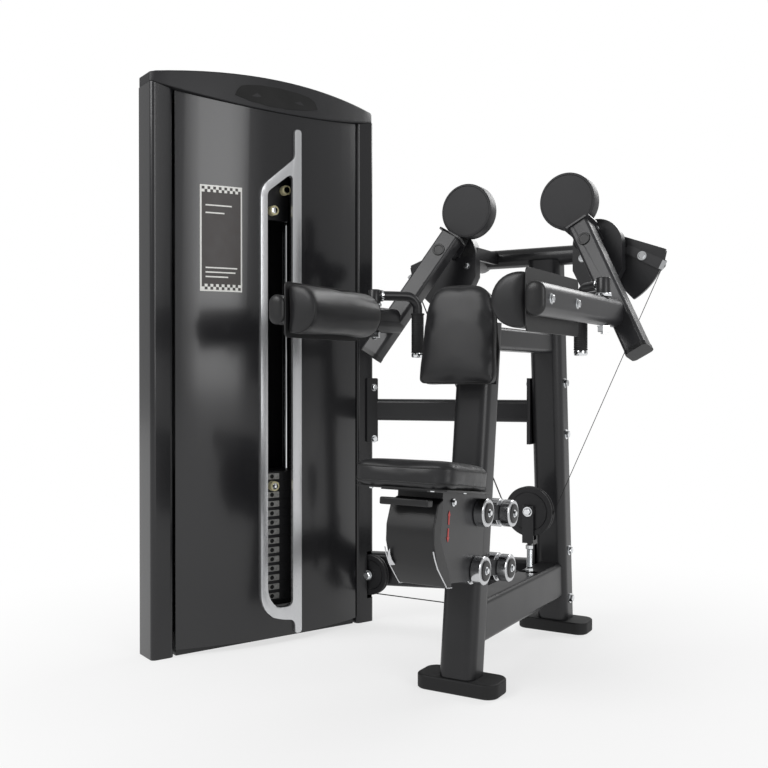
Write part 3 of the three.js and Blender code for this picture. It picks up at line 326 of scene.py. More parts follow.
def both_halves(half):
    """A closed outline from its right half, which the left half mirrors."""
    left = [(-x, y) for x, y in reversed(half)]
    return [left[-1], *half, *left[:-1]]


def rounded(width, height, corner, steps=6, x=0, y=0):
    """A rectangle's outline with round corners, its middle at x and y."""
    points = []
    for k, (sx, sy) in enumerate(((1, 1), (-1, 1), (-1, -1), (1, -1))):
        for i in range(steps + 1):
            t = math.pi / 2 * (k + i / steps)
            points.append((x + sx * (width / 2 - corner) + corner * math.cos(t),
                           y + sy * (height / 2 - corner) + corner * math.sin(t)))
    return points


def sweep(bm, points, radius, sides=16, closed=False):
    """A round tube along points."""
    pts = [Vector(p) for p in points]
    count = len(pts)
    turns = [2 * math.pi * k / sides for k in range(sides)]
    side = None
    rings = []
    for i, p in enumerate(pts):
        before = pts[i - 1] if i or closed else p
        after = pts[(i + 1) % count] if i + 1 < count or closed else p
        along = (after - before).normalized()
        if side is None:
            side = along.orthogonal().normalized()
        side = (side - along * side.dot(along)).normalized()
        up = along.cross(side)
        rings.append([bm.verts.new(p + (side * math.cos(t) + up * math.sin(t)) * radius) for t in turns])
    for low, high in zip(rings, rings[1:]):
        join_rings(bm, low, high)
    if closed:
        last, first = rings[-1], rings[0]
        shift = min(range(sides), key=lambda s: (last[0].co - first[s].co).length)
        join_rings(bm, last, first[shift:] + first[:shift])
    else:
        bm.faces.new(rings[0])
        bm.faces.new(rings[-1])


# Frame, tower and covers: the CAD shapes with eased edges
for node in ("front_post", "rear_post", "base_beam", "upper_beam", "crossbeam", "chest_pad_bracket",
             "tower_base", "tower_top_beam", "add_on_weight_plate", "mid_beam", "low_beam", "seat_carriage",
             "right_cam", "left_cam", "head_plate", "weight_plate_second", "weight_stack",
             "floating_pulley_yoke"):
    dress(node)
for node in ("right_arm", "left_arm"):
    dress(node, edge=0.0018)
for node in ("front_shroud", "rear_shroud", "tower_post_left", "tower_post_right"):
    dress(node, edge=0.0009)
dress("top_cap", edge=0.004, steps=3)
for node in ("right_pivot_cover", "left_pivot_cover", "front_foot", "rear_foot"):
    dress(node, edge=0.005, steps=3)
dress("carriage_shroud", edge=0.004, turn=25, steps=3)
dress("seat_lever", edge=0.004, steps=3)
for node in ("guide_rod_left", "guide_rod_right"):
    dress(node, edge=0)


# Cushions: the CAD form is remeshed, swells under pressure as cloth, and gets piped seams
def settle(made):
    """Applies the modifiers that the object has."""
    graph = bpy.context.evaluated_depsgraph_get()
    mesh = bpy.data.meshes.new_from_object(made.evaluated_get(graph))
    made.modifiers.clear()
    made.data = mesh


def inflate(made):
    """Lets the mesh swell under pressure, as cloth without weight."""
    last_frame, quality, pressure = 20, 4, 4
    cloth = made.modifiers.new("cloth", "CLOTH")
    cloth.settings.quality = quality
    cloth.settings.use_pressure = True
    cloth.settings.uniform_pressure_force = pressure
    cloth.settings.effector_weights.gravity = 0
    for step in range(1, last_frame + 1):
        scene.frame_set(step)
    settle(made)
    scene.frame_set(1)


def cushion(node, name, swell, shrink=0.003):
    """The CAD cushion drawn in by shrink and then blown up, no point of it by more than swell."""
    grid, smoothing = 0.0055, 6
    made = bpy.data.objects.new(name, nodes[node].data.copy())
    scene.collection.objects.link(made)
    bm = node_mesh(node)
    bm.normal_update()
    for vert in bm.verts:
        vert.co -= vert.normal * shrink
    bm.to_mesh(made.data)
    bm.free()
    remesh = made.modifiers.new("remesh", "REMESH")
    remesh.mode = "VOXEL"
    remesh.voxel_size = grid
    settle(made)
    rest = np.array([v.co for v in made.data.vertices])
    inflate(made)
    shift = np.array([v.co for v in made.data.vertices]) - rest
    reach = np.linalg.norm(shift, axis=1)
    share = np.minimum(1, swell / np.maximum(reach, 1e-9))
    made.data.vertices.foreach_set("co", (rest + shift * share[:, None]).astype(np.float32).ravel())
    smooth = made.modifiers.new("smooth", "CORRECTIVE_SMOOTH")
    smooth.iterations = smoothing
    smooth.use_only_smooth = True
    finer = made.modifiers.new("finer", "SUBSURF")
    finer.levels = 1
    finer.render_levels = 1
    settle(made)
    made.data.polygons.foreach_set("use_smooth", [True] * len(made.data.polygons))
    made.data.materials.clear()
    made.data.materials.append(leather)
    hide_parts(node)
    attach(made, body_of[node])
    return made


def seam(pad, node, name, place, axis, level):
    """A piped seam round the cushion, along the line of the CAD form at one level of its own frame."""
    radius, spacing, proud_share, near = 0.0015, 0.006, 0.25, 0.0004
    back = place.inverted()
    corners = [back @ v.co for v in nodes[node].data.vertices]
    ring = {(round(p.x, 4), round(p.y, 4), round(p.z, 4)) for p in corners if abs(p[axis] - level) < near}
    ring = [Vector(p) for p in ring]
    flat = [k for k in range(3) if k != axis]
    middle = sum(ring, Vector()) / len(ring)
    ring.sort(key=lambda p: math.atan2(p[flat[1]] - middle[flat[1]], p[flat[0]] - middle[flat[0]]))
    line = []
    for i, p in enumerate(ring):
        q = ring[(i + 1) % len(ring)]
        pieces = max(1, int((q - p).length / spacing))
        line += [p.lerp(q, k / pieces) for k in range(pieces)]
    onto = []
    for p in line:
        _, point, normal, _ = pad.closest_point_on_mesh(place @ p)
        onto.append(point + normal * radius * proud_share)
    even = [onto[i - 1] * 0.25 + onto[i] * 0.5 + onto[(i + 1) % len(onto)] * 0.25 for i in range(len(onto))]
    bm = bmesh.new()
    sweep(bm, even, radius, 8, closed=True)
    add(name, bm, piping, body_of[node], "pad_leather")


def seat_cushion():
    bottom, top, crown, edge = 0.4623, 0.521, 0.006, 0.008
    seat = cushion("seat_pad", "seat_cushion", 0.006)
    seam(seat, "seat_pad", "seat_seam_top", LEANING, 2, top - crown - edge)
    seam(seat, "seat_pad", "seat_seam_low", LEANING, 2, bottom + edge)


def chest_cushion():
    front, back, crown, edge = -0.136, -0.09, 0.006, 0.007
    chest = cushion("chest_pad", "chest_cushion", 0.006)
    seam(chest, "chest_pad", "chest_seam_front", LEANING, 1, front + crown + edge)
    seam(chest, "chest_pad", "chest_seam_back", LEANING, 1, back - edge)


def arm_cushion(name):
    front, back, crown, edge = -0.304, -0.006, 0.0006, 0.007
    pad = cushion(f"{name}_arm_pad", f"{name}_arm_cushion", 0.005)
    seam(pad, f"{name}_arm_pad", f"{name}_arm_pad_seam_front", UPRIGHT, 1, front + crown + edge)
    seam(pad, f"{name}_arm_pad", f"{name}_arm_pad_seam_back", UPRIGHT, 1, back - edge)


seat_cushion()
chest_cushion()
for name in SIDES:
    arm_cushion(name)


# Boards behind the cushions
BOARD_THICKNESS, BOARD_EDGE = 0.0045, 0.001


def seat_board():
    bm = bmesh.new()
    outline = both_halves([(0.108, -0.35), (0.112, -0.19), (0.07, -0.06)])
    slab(bm, outline, (0, 0, BOARD_BOTTOM), RIGHTWARD, FORWARD, BOARD_THICKNESS, BOARD_EDGE)
    add("seat_board", bm, plastic, "seat_carriage", "black_plastic", LEANING)


def chest_board():
    back_y = -0.087
    bm = bmesh.new()
    outline = both_halves([(0.09, 0.71), (0.092, 0.79), (0.08, 0.87), (0.05, 0.925)])
    slab(bm, outline, (0, back_y, 0), RIGHTWARD, UPWARD, BOARD_THICKNESS, BOARD_EDGE)
    add("chest_board", bm, plastic, "root", "black_plastic", LEANING)


def arm_pad_board(name, s):
    length, height, corner, thickness, edge = 0.302, 0.124, 0.012, 0.004, 0.0008
    board_x, board_y = 0.2837, -0.155
    bm = bmesh.new()
    outline = rounded(length, height, corner, x=board_y, y=PAD_TUBE_Z)
    slab(bm, outline, (s * board_x - thickness / 2, 0, 0), FORWARD, UPWARD, thickness, edge)
    add(f"{name}_arm_pad_board", bm, plastic, f"{name}_arm", "black_plastic")


seat_board()
chest_board()
for name, s in SIDES.items():
    arm_pad_board(name, s)


# Counterweight discs, with a raised rim and a soft edge
def disc(name, s):
    x, z, radius, front, back = 0.142, 1.182, 0.073, 0.326, 0.369
    bm = bmesh.new()
    revolve(bm, (s * x, 0, z), FORWARD, [
        (front + 0.0015, 0), (front + 0.0015, radius - 0.007), (front, radius - 0.0055),
        (front + 0.0002, radius - 0.0025), (front + 0.0025, radius - 0.0003), (front + 0.005, radius),
        (back - 0.004, radius), (back - 0.0007, radius - 0.0015), (back, radius - 0.004), (back, 0)], 112)
    add(f"{name}_disc", bm, disc_grey, stands_for=(f"{name}_counterweight",), sharp=30)


for name, s in SIDES.items():
    disc(name, s)

# Pulleys and the turnbuckle
LOW_PULLEY_Z, REAR_LOW_PULLEY_X, TOWER_LOW_PULLEY_X = 0.1405, -0.0565, -0.5072
FLOATING_PULLEY_Z = 0.366
PULLEY_BOLT_OFFSET = 0.0143


def pulley(name, node, at, radius, place=UPRIGHT):
    """A sheave with a grooved rim, a dished web and a hub."""
    flange, web, bore, hub = 0.009, 0.0055, 0.0063, 0.015
    groove = radius - 0.007
    half = [(flange, bore), (flange, hub), (web, hub + 0.002), (web, groove - 0.011),
            (flange - 0.0005, groove - 0.007), (flange, radius - 0.002), (flange - 0.0012, radius),
            (web, radius), (0.0025, groove), (0, groove - 0.0006)]
    profile = half + [(-a, r) for a, r in reversed(half[:-1])]
    bm = bmesh.new()
    revolve(bm, at, FORWARD, profile, 80, closed=True)
    add(name, bm, pulley_black, stands_for=(node,), place=place, sharp=30)


def low_pulley_bolts():
    bm = bmesh.new()
    y = CABLE_Y - PULLEY_BOLT_OFFSET
    bolt(bm, (REAR_LOW_PULLEY_X, y, LOW_PULLEY_Z), BACKWARD, "pulley")
    bolt(bm, (TOWER_LOW_PULLEY_X, y, LOW_PULLEY_Z), BACKWARD, "tower_pulley")
    add("low_pulley_bolts", bm, chrome, "root", "chrome")


def turnbuckle():
    """The floating pulley's bolts, and the threaded rod under it between two nuts."""
    low, pitch, count, root, crest = 0.214, 0.002, 24, 0.0068, 0.0078
    high = low + pitch * count
    nut, nut_height = 0.0115, 0.011
    bm = bmesh.new()
    bolt(bm, (0, CABLE_Y - PULLEY_BOLT_OFFSET, FLOATING_PULLEY_Z), BACKWARD, "pulley")
    bolt(bm, (0, CABLE_Y + PULLEY_BOLT_OFFSET, FLOATING_PULLEY_Z), FORWARD, "pulley")
    thread = [(low, 0)]
    for i in range(count):
        thread += [(low + pitch * i, root), (low + pitch * (i + 0.5), crest)]
    thread += [(high, root), (high, 0)]
    revolve(bm, (0, CABLE_Y, 0), UPWARD, thread, 24)
    for z in (0.2, 0.263):
        revolve(bm, (0, CABLE_Y, z), UPWARD, [
            (0, 0), (0, nut - 0.001), (0.001, nut), (nut_height - 0.001, nut), (nut_height, nut - 0.001),
            (nut_height, 0)], 6)
    add("turnbuckle_screw", bm, chrome, "floating_yoke", "chrome")


pulley("rear_low_sheave", "rear_low_pulley", (REAR_LOW_PULLEY_X, CABLE_Y, LOW_PULLEY_Z), 0.06)
pulley("tower_low_sheave", "tower_low_pulley", (TOWER_LOW_PULLEY_X, CABLE_Y, LOW_PULLEY_Z), 0.06)
pulley("floating_sheave", "floating_pulley", (0, CABLE_Y, FLOATING_PULLEY_Z), 0.068)
for name, x in (("inner", 0.0405), ("outer", 0.2825)):
    pulley(f"top_{name}_sheave", f"top_pulley_{name}", (x, 0.058, 1.397), 0.038, TOWER)
low_pulley_bolts()
turnbuckle()


# Carriage rollers: silver drums with black caps and bolts at both ends
def roller(node, y, z):
    end, drum, cap = 0.0802, 0.0325, 0.0238
    slit_far, slit_near, spindle = 0.0556, 0.0484, 0.008
    half = [(end, drum - 0.008), (end - 0.0006, drum - 0.007), (end, drum - 0.004),
            (end - 0.0006, drum - 0.0013), (end - 0.0024, drum), (slit_far + 0.0016, drum),
            (slit_far, drum - 0.0013), (slit_far, spindle), (slit_near, spindle), (slit_near, drum),
            (slit_near - 0.0014, drum + 0.0015)]
    profile = half + [(-a, r) for a, r in reversed(half)]
    bm = bmesh.new()
    revolve(bm, (0, y, z), RIGHTWARD, [(end, 0), *profile, (-end, 0)], 64)
    add(f"{node}_wheel", bm, silver_round, stands_for=(node,), place=LEANING, sharp=30)
    bm = bmesh.new()
    for s in (1, -1):
        revolve(bm, (0, y, z), (s, 0, 0), [
            (end + 0.0001, cap), (end + 0.0023, cap - 0.001), (end + 0.003, cap - 0.0033),
            (end + 0.003, 0.012), (end + 0.002, 0.011), (end + 0.002, 0)], 48)
    add(f"{node}_cap", bm, plastic, node, "black_plastic", LEANING)
    bm = bmesh.new()
    for s in (1, -1):
        bolt(bm, (s * (end + 0.002), y, z), (s, 0, 0), "roller")
    add(f"{node}_bolt", bm, chrome, node, "chrome", LEANING)


for where, y in (("front", -0.0743), ("rear", 0.0743)):
    for level, z in (("upper", 0.416), ("lower", 0.286)):
        roller(f"{where}_{level}_roller", y, z)


# Handles: a bent bar hanging from a sleeve, with chrome rings, a ribbed grip and a chrome end
GRIP_X, GRIP_Y = PAD_TUBE_X - 0.082, HANDLE_Y + 0.084


def handle(name, s):
    bar, bar_z, bar_end, bend, sleeve = 0.0125, 0.944, 0.784, 0.034, 0.016
    sleeve_low, sleeve_high = 0.9153, 0.96
    hinge_x, grip_x = s * PAD_TUBE_X, s * GRIP_X
    swing_x, swing_y = grip_x - hinge_x, GRIP_Y - HANDLE_Y
    reach = math.hypot(swing_x, swing_y)
    ax, ay = swing_x / reach, swing_y / reach
    start = Vector((hinge_x, HANDLE_Y, bar_z))
    points = [start, start + Vector((ax, ay, 0)) * (reach - bend) * 0.5]
    for i in range(13):
        t = math.pi / 2 * i / 12
        out = reach - bend + bend * math.sin(t)
        points.append(start + Vector((ax * out, ay * out, -bend * (1 - math.cos(t)))))
    points.append(Vector((grip_x, GRIP_Y, bar_end)))
    bm = bmesh.new()
    sweep(bm, points, bar, 32)
    revolve(bm, (hinge_x, HANDLE_Y, 0), UPWARD, [
        (sleeve_low, 0), (sleeve_low, sleeve - 0.001), (sleeve_low + 0.0012, sleeve),
        (sleeve_high - 0.003, sleeve), (sleeve_high - 0.0008, sleeve - 0.0015), (sleeve_high, sleeve - 0.005),
        (sleeve_high, 0)], 48)
    add(f"{name}_handle_bar", bm, powder, stands_for=(f"{name}_handle",))
    bm = bmesh.new()
    collar_z, collar, collar_bore, collar_height = 0.916, 0.0185, 0.0158, 0.0075
    revolve(bm, (hinge_x, HANDLE_Y, collar_z), UPWARD, [
        (0, collar_bore), (0, collar - 0.0007), (0.001, collar), (collar_height - 0.001, collar),
        (collar_height, collar - 0.001), (collar_height, collar_bore)], 48)
    ring, ring_bore, ring_width = 0.015, 0.012, 0.0063
    revolve(bm, start + Vector((ax, ay, 0)) * 0.0165, (ax, ay, 0), [
        (0, ring_bore), (0, ring - 0.0008), (0.0008, ring), (ring_width - 0.0008, ring),
        (ring_width, ring - 0.0008), (ring_width, ring_bore)], 48)
    end_low, end_high, end = 0.783, 0.7957, 0.0162
    revolve(bm, (grip_x, GRIP_Y, 0), UPWARD, [
        (end_high, 0), (end_high, end - 0.0027), (end_high - 0.0007, end - 0.0007), (end_high - 0.0032, end),
        (end_low + 0.0035, end), (end_low + 0.0008, end - 0.0012), (end_low, end - 0.0047), (end_low, 0)], 48)
    add(f"{name}_handle_rings", bm, chrome, f"{name}_handle", "chrome")


def handle_nut(name, s):
    """The nut on the end of the handle's hinge bolt, under the arm."""
    nut_z, washer, nut, shaft = 0.849, 0.0025, 0.0145, 0.007
    bm = bmesh.new()
    revolve(bm, (s * PAD_TUBE_X, HANDLE_Y, nut_z), DOWNWARD, [
        (0, 0.016), (washer, 0.016), (washer, nut - 0.001), (washer + 0.001, nut), (0.013, nut),
        (0.014, nut - 0.001), (0.014, shaft), (0.018, shaft), (0.0185, shaft - 0.0008), (0.0185, 0)], 6)
    add(f"{name}_handle_nut", bm, chrome, f"{name}_arm", "chrome")


def grip(name, s):
    """A rubber sleeve with raised ribs and a collar at both ends."""
    low, high, valley, rib, bore, collar = 0.796, 0.9, 0.0158, 0.01635, 0.0128, 0.0168
    first_rib, pitch, count = 0.802, 0.0048, 19
    ribs = [(low + 0.0005, bore), (low, collar - 0.0013), (low + 0.0008, collar), (low + 0.0032, collar),
            (low + 0.004, valley)]
    for i in range(count):
        z = first_rib + i * pitch
        ribs += [(z, valley), (z + 0.0008, rib), (z + 0.0036, rib), (z + 0.0044, valley)]
    ribs += [(high - 0.0055, valley), (high - 0.0047, collar + 0.001), (high - 0.0012, collar + 0.001),
             (high - 0.0002, collar), (high, bore)]
    bm = bmesh.new()
    revolve(bm, (s * GRIP_X, GRIP_Y, 0), UPWARD, ribs, 40, closed=True)
    add(f"{name}_grip_sleeve", bm, rubber, stands_for=(f"{name}_grip",), sharp=35)


for name, s in SIDES.items():
    handle(name, s)
    handle_nut(name, s)
    grip(name, s)


# Arm trim: pivot plug, lower end cap, domed pad tube cap and bolts
def arm_caps(name, s):
    top, end = Vector((s * 0.182, 0.323, 1.112)), Vector((s * 0.36, 0.2, 0.797))
    down = (end - top).normalized()
    back = (Vector(FORWARD) - down * down.y).normalized()
    wide = down.cross(back)
    plug, plug_height, plug_down, plug_out = 0.0165, 0.003, 0.052, 0.025
    cap_width, cap_length, cap_corner, cap_depth, cap_proud = 0.057, 0.053, 0.011, 0.011, 0.0012
    bm = bmesh.new()
    revolve(bm, top + down * plug_down - back * plug_out, -back, [
        (-0.001, plug), (plug_height - 0.0008, plug), (plug_height, plug - 0.001),
        (plug_height, plug - 0.004), (plug_height - 0.0014, plug - 0.005), (plug_height - 0.0014, 0)], 48)
    slab(bm, rounded(cap_width, cap_length, cap_corner), end - down * cap_proud, wide, back, -cap_depth)
    add(f"{name}_arm_caps", bm, plastic, f"{name}_arm", "black_plastic")


def pad_tube_cap(name, s):
    width, height, corner, tube_end = 0.041, 0.067, 0.0203, -0.306
    oval = [(0, 0), (0.002, 0.0), (0.0055, 0.0018), (0.0085, 0.0062), (0.0098, 0.0125), (0.0102, 0.0185)]
    bm = bmesh.new()
    rings = []
    for out, inset in oval:
        ring = rounded(width - 2 * inset, height - 2 * inset, corner - inset, 8)
        rings.append([bm.verts.new((s * PAD_TUBE_X + x, tube_end - out, PAD_TUBE_Z + z)) for x, z in ring])
    for low, high in zip(rings, rings[1:]):
        join_rings(bm, low, high)
    bm.faces.new(rings[-1])
    add(f"{name}_pad_tube_cap", bm, plastic, f"{name}_arm", "black_plastic", sharp=60)


def pad_bolts(name, s):
    tube_half = 0.02
    bm = bmesh.new()
    for y in (-0.279, -0.127):
        bolt(bm, (s * (PAD_TUBE_X + tube_half), y, PAD_TUBE_Z), (s, 0, 0), "pad")
    add(f"{name}_pad_bolts", bm, chrome, f"{name}_arm", "chrome")


for name, s in SIDES.items():
    arm_caps(name, s)
    pad_tube_cap(name, s)
    pad_bolts(name, s)


# Pivot covers: two bolts, and a slot drawn as a thin near-black plate of painted shade
def pivot_cover_trim(name, s):
    face_y = 0.381
    slot_x, slot_z, slot_width, slot_height, slot_corner = 0.163, 1.076, 0.04, 0.02, 0.0098
    slot_depth, slot_proud = 0.0012, 0.0007
    bm = bmesh.new()
    for x, z in ((0.2, 1.113), (0.165, 1.04)):
        bolt(bm, (s * x, face_y, z), BACKWARD, "cover")
    add(f"{name}_cover_bolts", bm, chrome, "root", "chrome")
    # The slot is a near-black plate on the cover's face: painted shade where the opening is dark inside
    bm = bmesh.new()
    slot = rounded(slot_width, slot_height, slot_corner, x=s * slot_x, y=slot_z)
    slab(bm, slot, (0, face_y + slot_depth - slot_proud, 0), RIGHTWARD, UPWARD, slot_depth)
    add(f"{name}_cover_slot", bm, painted_shade_black, "root", "frame_black")


# Cams: the strap that clamps the cable's end, its bolt and its bright lip, and the cam's own bolt
def cam_trim(name, s):
    strap_y, strap_depth, half_width = 0.4268, 0.006, 0.014
    first, last = Vector((s * 0.27, 0, 1.062)), Vector((s * 0.364, 0, 1.014))
    along = (last - first).normalized()
    up = Vector((-along.z, 0, along.x)) * s
    length = (last - first).length
    outline = [(0, 0.003 - half_width), (length, -half_width), (length + 0.004, 0), (length, half_width),
               (0, half_width - 0.003), (-0.006, 0)]
    if s < 0:
        outline = [(x, -y) for x, y in outline]
    bm = bmesh.new()
    slab(bm, outline, first + Vector((0, strap_y, 0)), along, up, strap_depth * s)
    add(f"{name}_cam_strap", bm, arm_grey, f"{name}_arm", "frame_black")
    bm = bmesh.new()
    bolt_share, cam_bolt_x, cam_bolt_z, cam_face_y = 0.42, 0.256, 1.06, 0.427
    middle = first + along * length * bolt_share
    bolt(bm, (middle.x, strap_y - strap_depth, middle.z), BACKWARD, "strap")
    bolt(bm, (s * cam_bolt_x, cam_face_y, cam_bolt_z), BACKWARD, "cam")
    lip = [(length - 0.008, -0.012), (length + 0.002, -0.012), (length + 0.004, 0.012),
           (length - 0.008, 0.012)]
    slab(bm, lip, first + Vector((0, strap_y - strap_depth - 0.0003, 0)), along, up, 0.0015 * s)
    add(f"{name}_cam_bolts", bm, chrome, f"{name}_arm", "chrome")


for name, s in SIDES.items():
    pivot_cover_trim(name, s)
    cam_trim(name, s)


# Bolts of the beams on the rear post, and the mid beam's bracket on the tower's right post
def beam_bolts():
    foot_y, lean, right_face, left_face = 0.64, 0.0769, 0.046, -0.0563
    bm = bmesh.new()
    for z in (0.715, 0.569, 0.234, 0.094):
        bolt(bm, (right_face, foot_y - lean * z, z), RIGHTWARD, "beam_right")
    for z in (0.712, 0.557, 0.225, 0.08):
        bolt(bm, (left_face, foot_y - lean * z, z), LEFTWARD, "beam_left")
    add("rear_post_bolts", bm, chrome, "root", "chrome")


def tower_bracket():
    face_y, thickness, width, height, corner = 0.0038, 0.006, 0.0395, 0.19, 0.005
    plate_x, plate_z = 0.3415, 0.634
    bm = bmesh.new()
    plate = rounded(width, height, corner, x=plate_x, y=plate_z)
    slab(bm, plate, (0, face_y, 0), RIGHTWARD, UPWARD, thickness)
    add("mid_beam_bracket", bm, powder, "root", "frame_black", TOWER)
    bm = bmesh.new()
    for z in (0.701, 0.547):
        bolt(bm, (plate_x + 0.005, face_y - thickness, z), BACKWARD, "bracket")
    add("mid_beam_bracket_bolts", bm, chrome, "root", "chrome", TOWER)


# Small bolts of the post and the carriage's side plates, and the screws under the seat's board
def seat_screws():
    chest_x, chest_y, chest_z = 0.02, -0.0395, 0.771
    plate_x, plate_y, plate_z = 0.0555, -0.211, 0.436
    bm = bmesh.new()
    for s in (-1, 1):
        bolt(bm, (s * chest_x, chest_y, chest_z), FORWARD, "chest")
    for s in (1, -1):
        bolt(bm, (s * plate_x, plate_y, plate_z), (s, 0, 0), "carriage")
    dome = [(0, 0.0045), (0.002, 0.004), (0.0028, 0.002), (0.003, 0)]
    for x, y in ((-0.07, -0.352), (0.075, -0.352), (0.095, -0.24)):
        revolve(bm, (x, y, BOARD_BOTTOM), DOWNWARD, dome, 20)
    add("seat_screws", bm, chrome, "seat_carriage", "chrome", LEANING)


beam_bolts()
tower_bracket()
seat_screws()


# Weight stack: pin holes, drawn as near-black discs of painted shade, and pale marks on each plate, numbered
# from the top
def plate_middle(number):
    stack_bottom, last_number, pitch, half_plate = 0.106, 13, 0.0258, 0.01275
    return stack_bottom + (last_number - number) * pitch + half_plate


def plate_marks(name, body, numbers):
    painted_shade = [(0.0007, 0.0062), (0.0011, 0.0055), (0.0011, 0)]
    mark_width, mark_height, mark_corner, mark_depth = 0.042, 0.0165, 0.002, 0.0006
    # Each pin hole is a thin near-black disc on the plate's face: painted shade for the dark inside of the
    # hole
    bm = bmesh.new()
    for number in numbers:
        revolve(bm, (STACK_X, STACK_FRONT, plate_middle(number)), BACKWARD, painted_shade, 24)
    add(f"{name}_hole_shades", bm, painted_shade_black, body, "cast_weight", TOWER)
    bm = bmesh.new()
    for number in numbers:
        mark = rounded(mark_width, mark_height, mark_corner, 3, x=STACK_X + 0.002, y=plate_middle(number))
        slab(bm, mark, (0, STACK_FRONT, 0), RIGHTWARD, UPWARD, mark_depth)
    add(f"{name}_marks", bm, mark_pale, body, "cast_weight", TOWER)


plate_marks("resting_plates", "root", range(2, 14))
plate_marks("lifted_plates", "lifted_stack", range(0, 2))


# Pins: a cream ring round a steel rod that reaches into the plate
def pin(name, node, x, z, front, reach):
    near, dish, far = -0.0005, -0.0175, -0.02
    ring, bore, rod, button = 0.0138, 0.0065, 0.005, 0.0092
    bm = bmesh.new()
    revolve(bm, (x, front, z), FORWARD, [
        (near, ring), (dish, ring), (far + 0.0005, ring - 0.0015), (far, ring - 0.0028), (dish, ring - 0.004),
        (dish, bore), (near, bore)], 48, closed=True)
    add(f"{name}_ring", bm, knob_cream, body_of[node], "chrome", TOWER)
    bm = bmesh.new()
    revolve(bm, (x, front, z), FORWARD, [
        (reach, 0), (reach - 0.001, rod - 0.0002), (-0.002, rod), (dish - 0.0003, rod),
        (dish - 0.0003, button), (far + 0.0008, button - 0.0006), (far, rod), (far - 0.0003, 0)], 40)
    add(f"{name}_rod", bm, chrome, stands_for=(node,), place=TOWER)


pin("selector", "selector_pin", STACK_X, plate_middle(1), STACK_FRONT, 0.032)
pin("add_on_upper", "add_on_pin_upper", 0.049, 1.258, 0.02, 0.014)
pin("add_on_lower", "add_on_pin_lower", 0.01, 1.197, 0.02, 0.014)


# Curved fronts of the panel and the cap, and what lies on them
def on_panel(x):
    """The panel's front at x: an arc that bulges out of the tower."""
    edge_y, bulge, half_width = 0.006, 0.044, 0.285
    radius = (half_width ** 2 + bulge ** 2) / (2 * bulge)
    return edge_y - bulge + radius - math.sqrt(radius ** 2 - x ** 2)


def on_cap(x):
    """The cap's front at x."""
    edge_y, bulge, half_width = 0.004, 0.047, 0.339
    return edge_y - bulge * (1 - (x / half_width) ** 2)


def skin(bm, x0, x1, low, high, lift, steps=14):
    """A thin upright sheet on the panel, from x0 to x1 and from low to high."""
    rows = []
    for i in range(steps + 1):
        x = x0 + (x1 - x0) * i / steps
        back = on_panel(x)
        front = back - lift
        corners = ((x, front, low), (x, front, high), (x, back, high), (x, back, low))
        rows.append([bm.verts.new(p) for p in corners])
    for near, far in zip(rows, rows[1:]):
        join_rings(bm, near, far)
    bm.faces.new(rows[0])
    bm.faces.new(rows[-1])


def filleted(corners, steps=6):
    """An outline from (x, z, radius) corners, each rounded by a curve that meets its two sides smoothly."""
    points = []
    for i, (x, z, radius) in enumerate(corners):
        here = Vector((x, z))
        before, after = Vector(corners[i - 1][:2]), Vector(corners[(i + 1) % len(corners)][:2])
        start = here + (before - here).normalized() * radius
        end = here + (after - here).normalized() * radius
        for k in range(steps + 1):
            t = k / steps
            points.append(start * (1 - t) ** 2 + here * 2 * t * (1 - t) + end * t ** 2)
    return points


def bezel():
    """A silver frame round the panel's slot, rounded in front, that runs out into a stem at both ends."""
    stem_left, stem_right, stem_low, stem_high, stem_corner = 0.0475, 0.069, 0.0205, 1.418, 0.0095
    left, slot_left, slot_right, slot_low = -0.059, -0.039, 0.04, 0.098
    front_lift, back_lift = 0.009, 0.0003
    outer = filleted([
        (stem_left, stem_low, stem_corner), (stem_right, stem_low, stem_corner),
        (stem_right, stem_high, stem_corner), (stem_left, stem_high, stem_corner), (stem_left, 1.338, 0.012),
        (left, 1.248, 0.03), (left, 0.092, 0.05), (-0.005, 0.066, 0.03), (stem_left, 0.059, 0.02)])
    inner = filleted([
        (slot_left, 1.236, 0.012), (slot_left, 0.115, 0.045), (-0.006, slot_low, 0.02),
        (slot_right, slot_low, 0.02), (slot_right, 1.29, 0.012), (0.026, 1.287, 0.01)])
    bm = bmesh.new()
    loops = []
    for line in (outer, inner):
        for lift in (front_lift, back_lift):
            ring = [bm.verts.new((p.x, on_panel(p.x) - lift, p.y)) for p in line]
            loops.append([bm.edges.new((ring[i], ring[(i + 1) % len(ring)])) for i in range(len(ring))])
        for front, back in zip(loops[-2], loops[-1]):
            bm.faces.new((front.verts[0], front.verts[1], back.verts[1], back.verts[0]))
    outer_front, outer_back, inner_front, inner_back = loops
    for edges in (outer_front + inner_front, outer_back + inner_back):
        bmesh.ops.triangle_fill(bm, edges=edges, use_beauty=True)
    bmesh.ops.recalc_face_normals(bm, faces=bm.faces)
    bmesh.ops.bevel(bm, geom=outer_front + inner_front, offset=0.003, segments=4, profile=0.5, affect="EDGES",
                    clamp_overlap=True)
    add("slot_bezel_frame", bm, silver, stands_for=("slot_bezel",), place=TOWER, sharp=50)


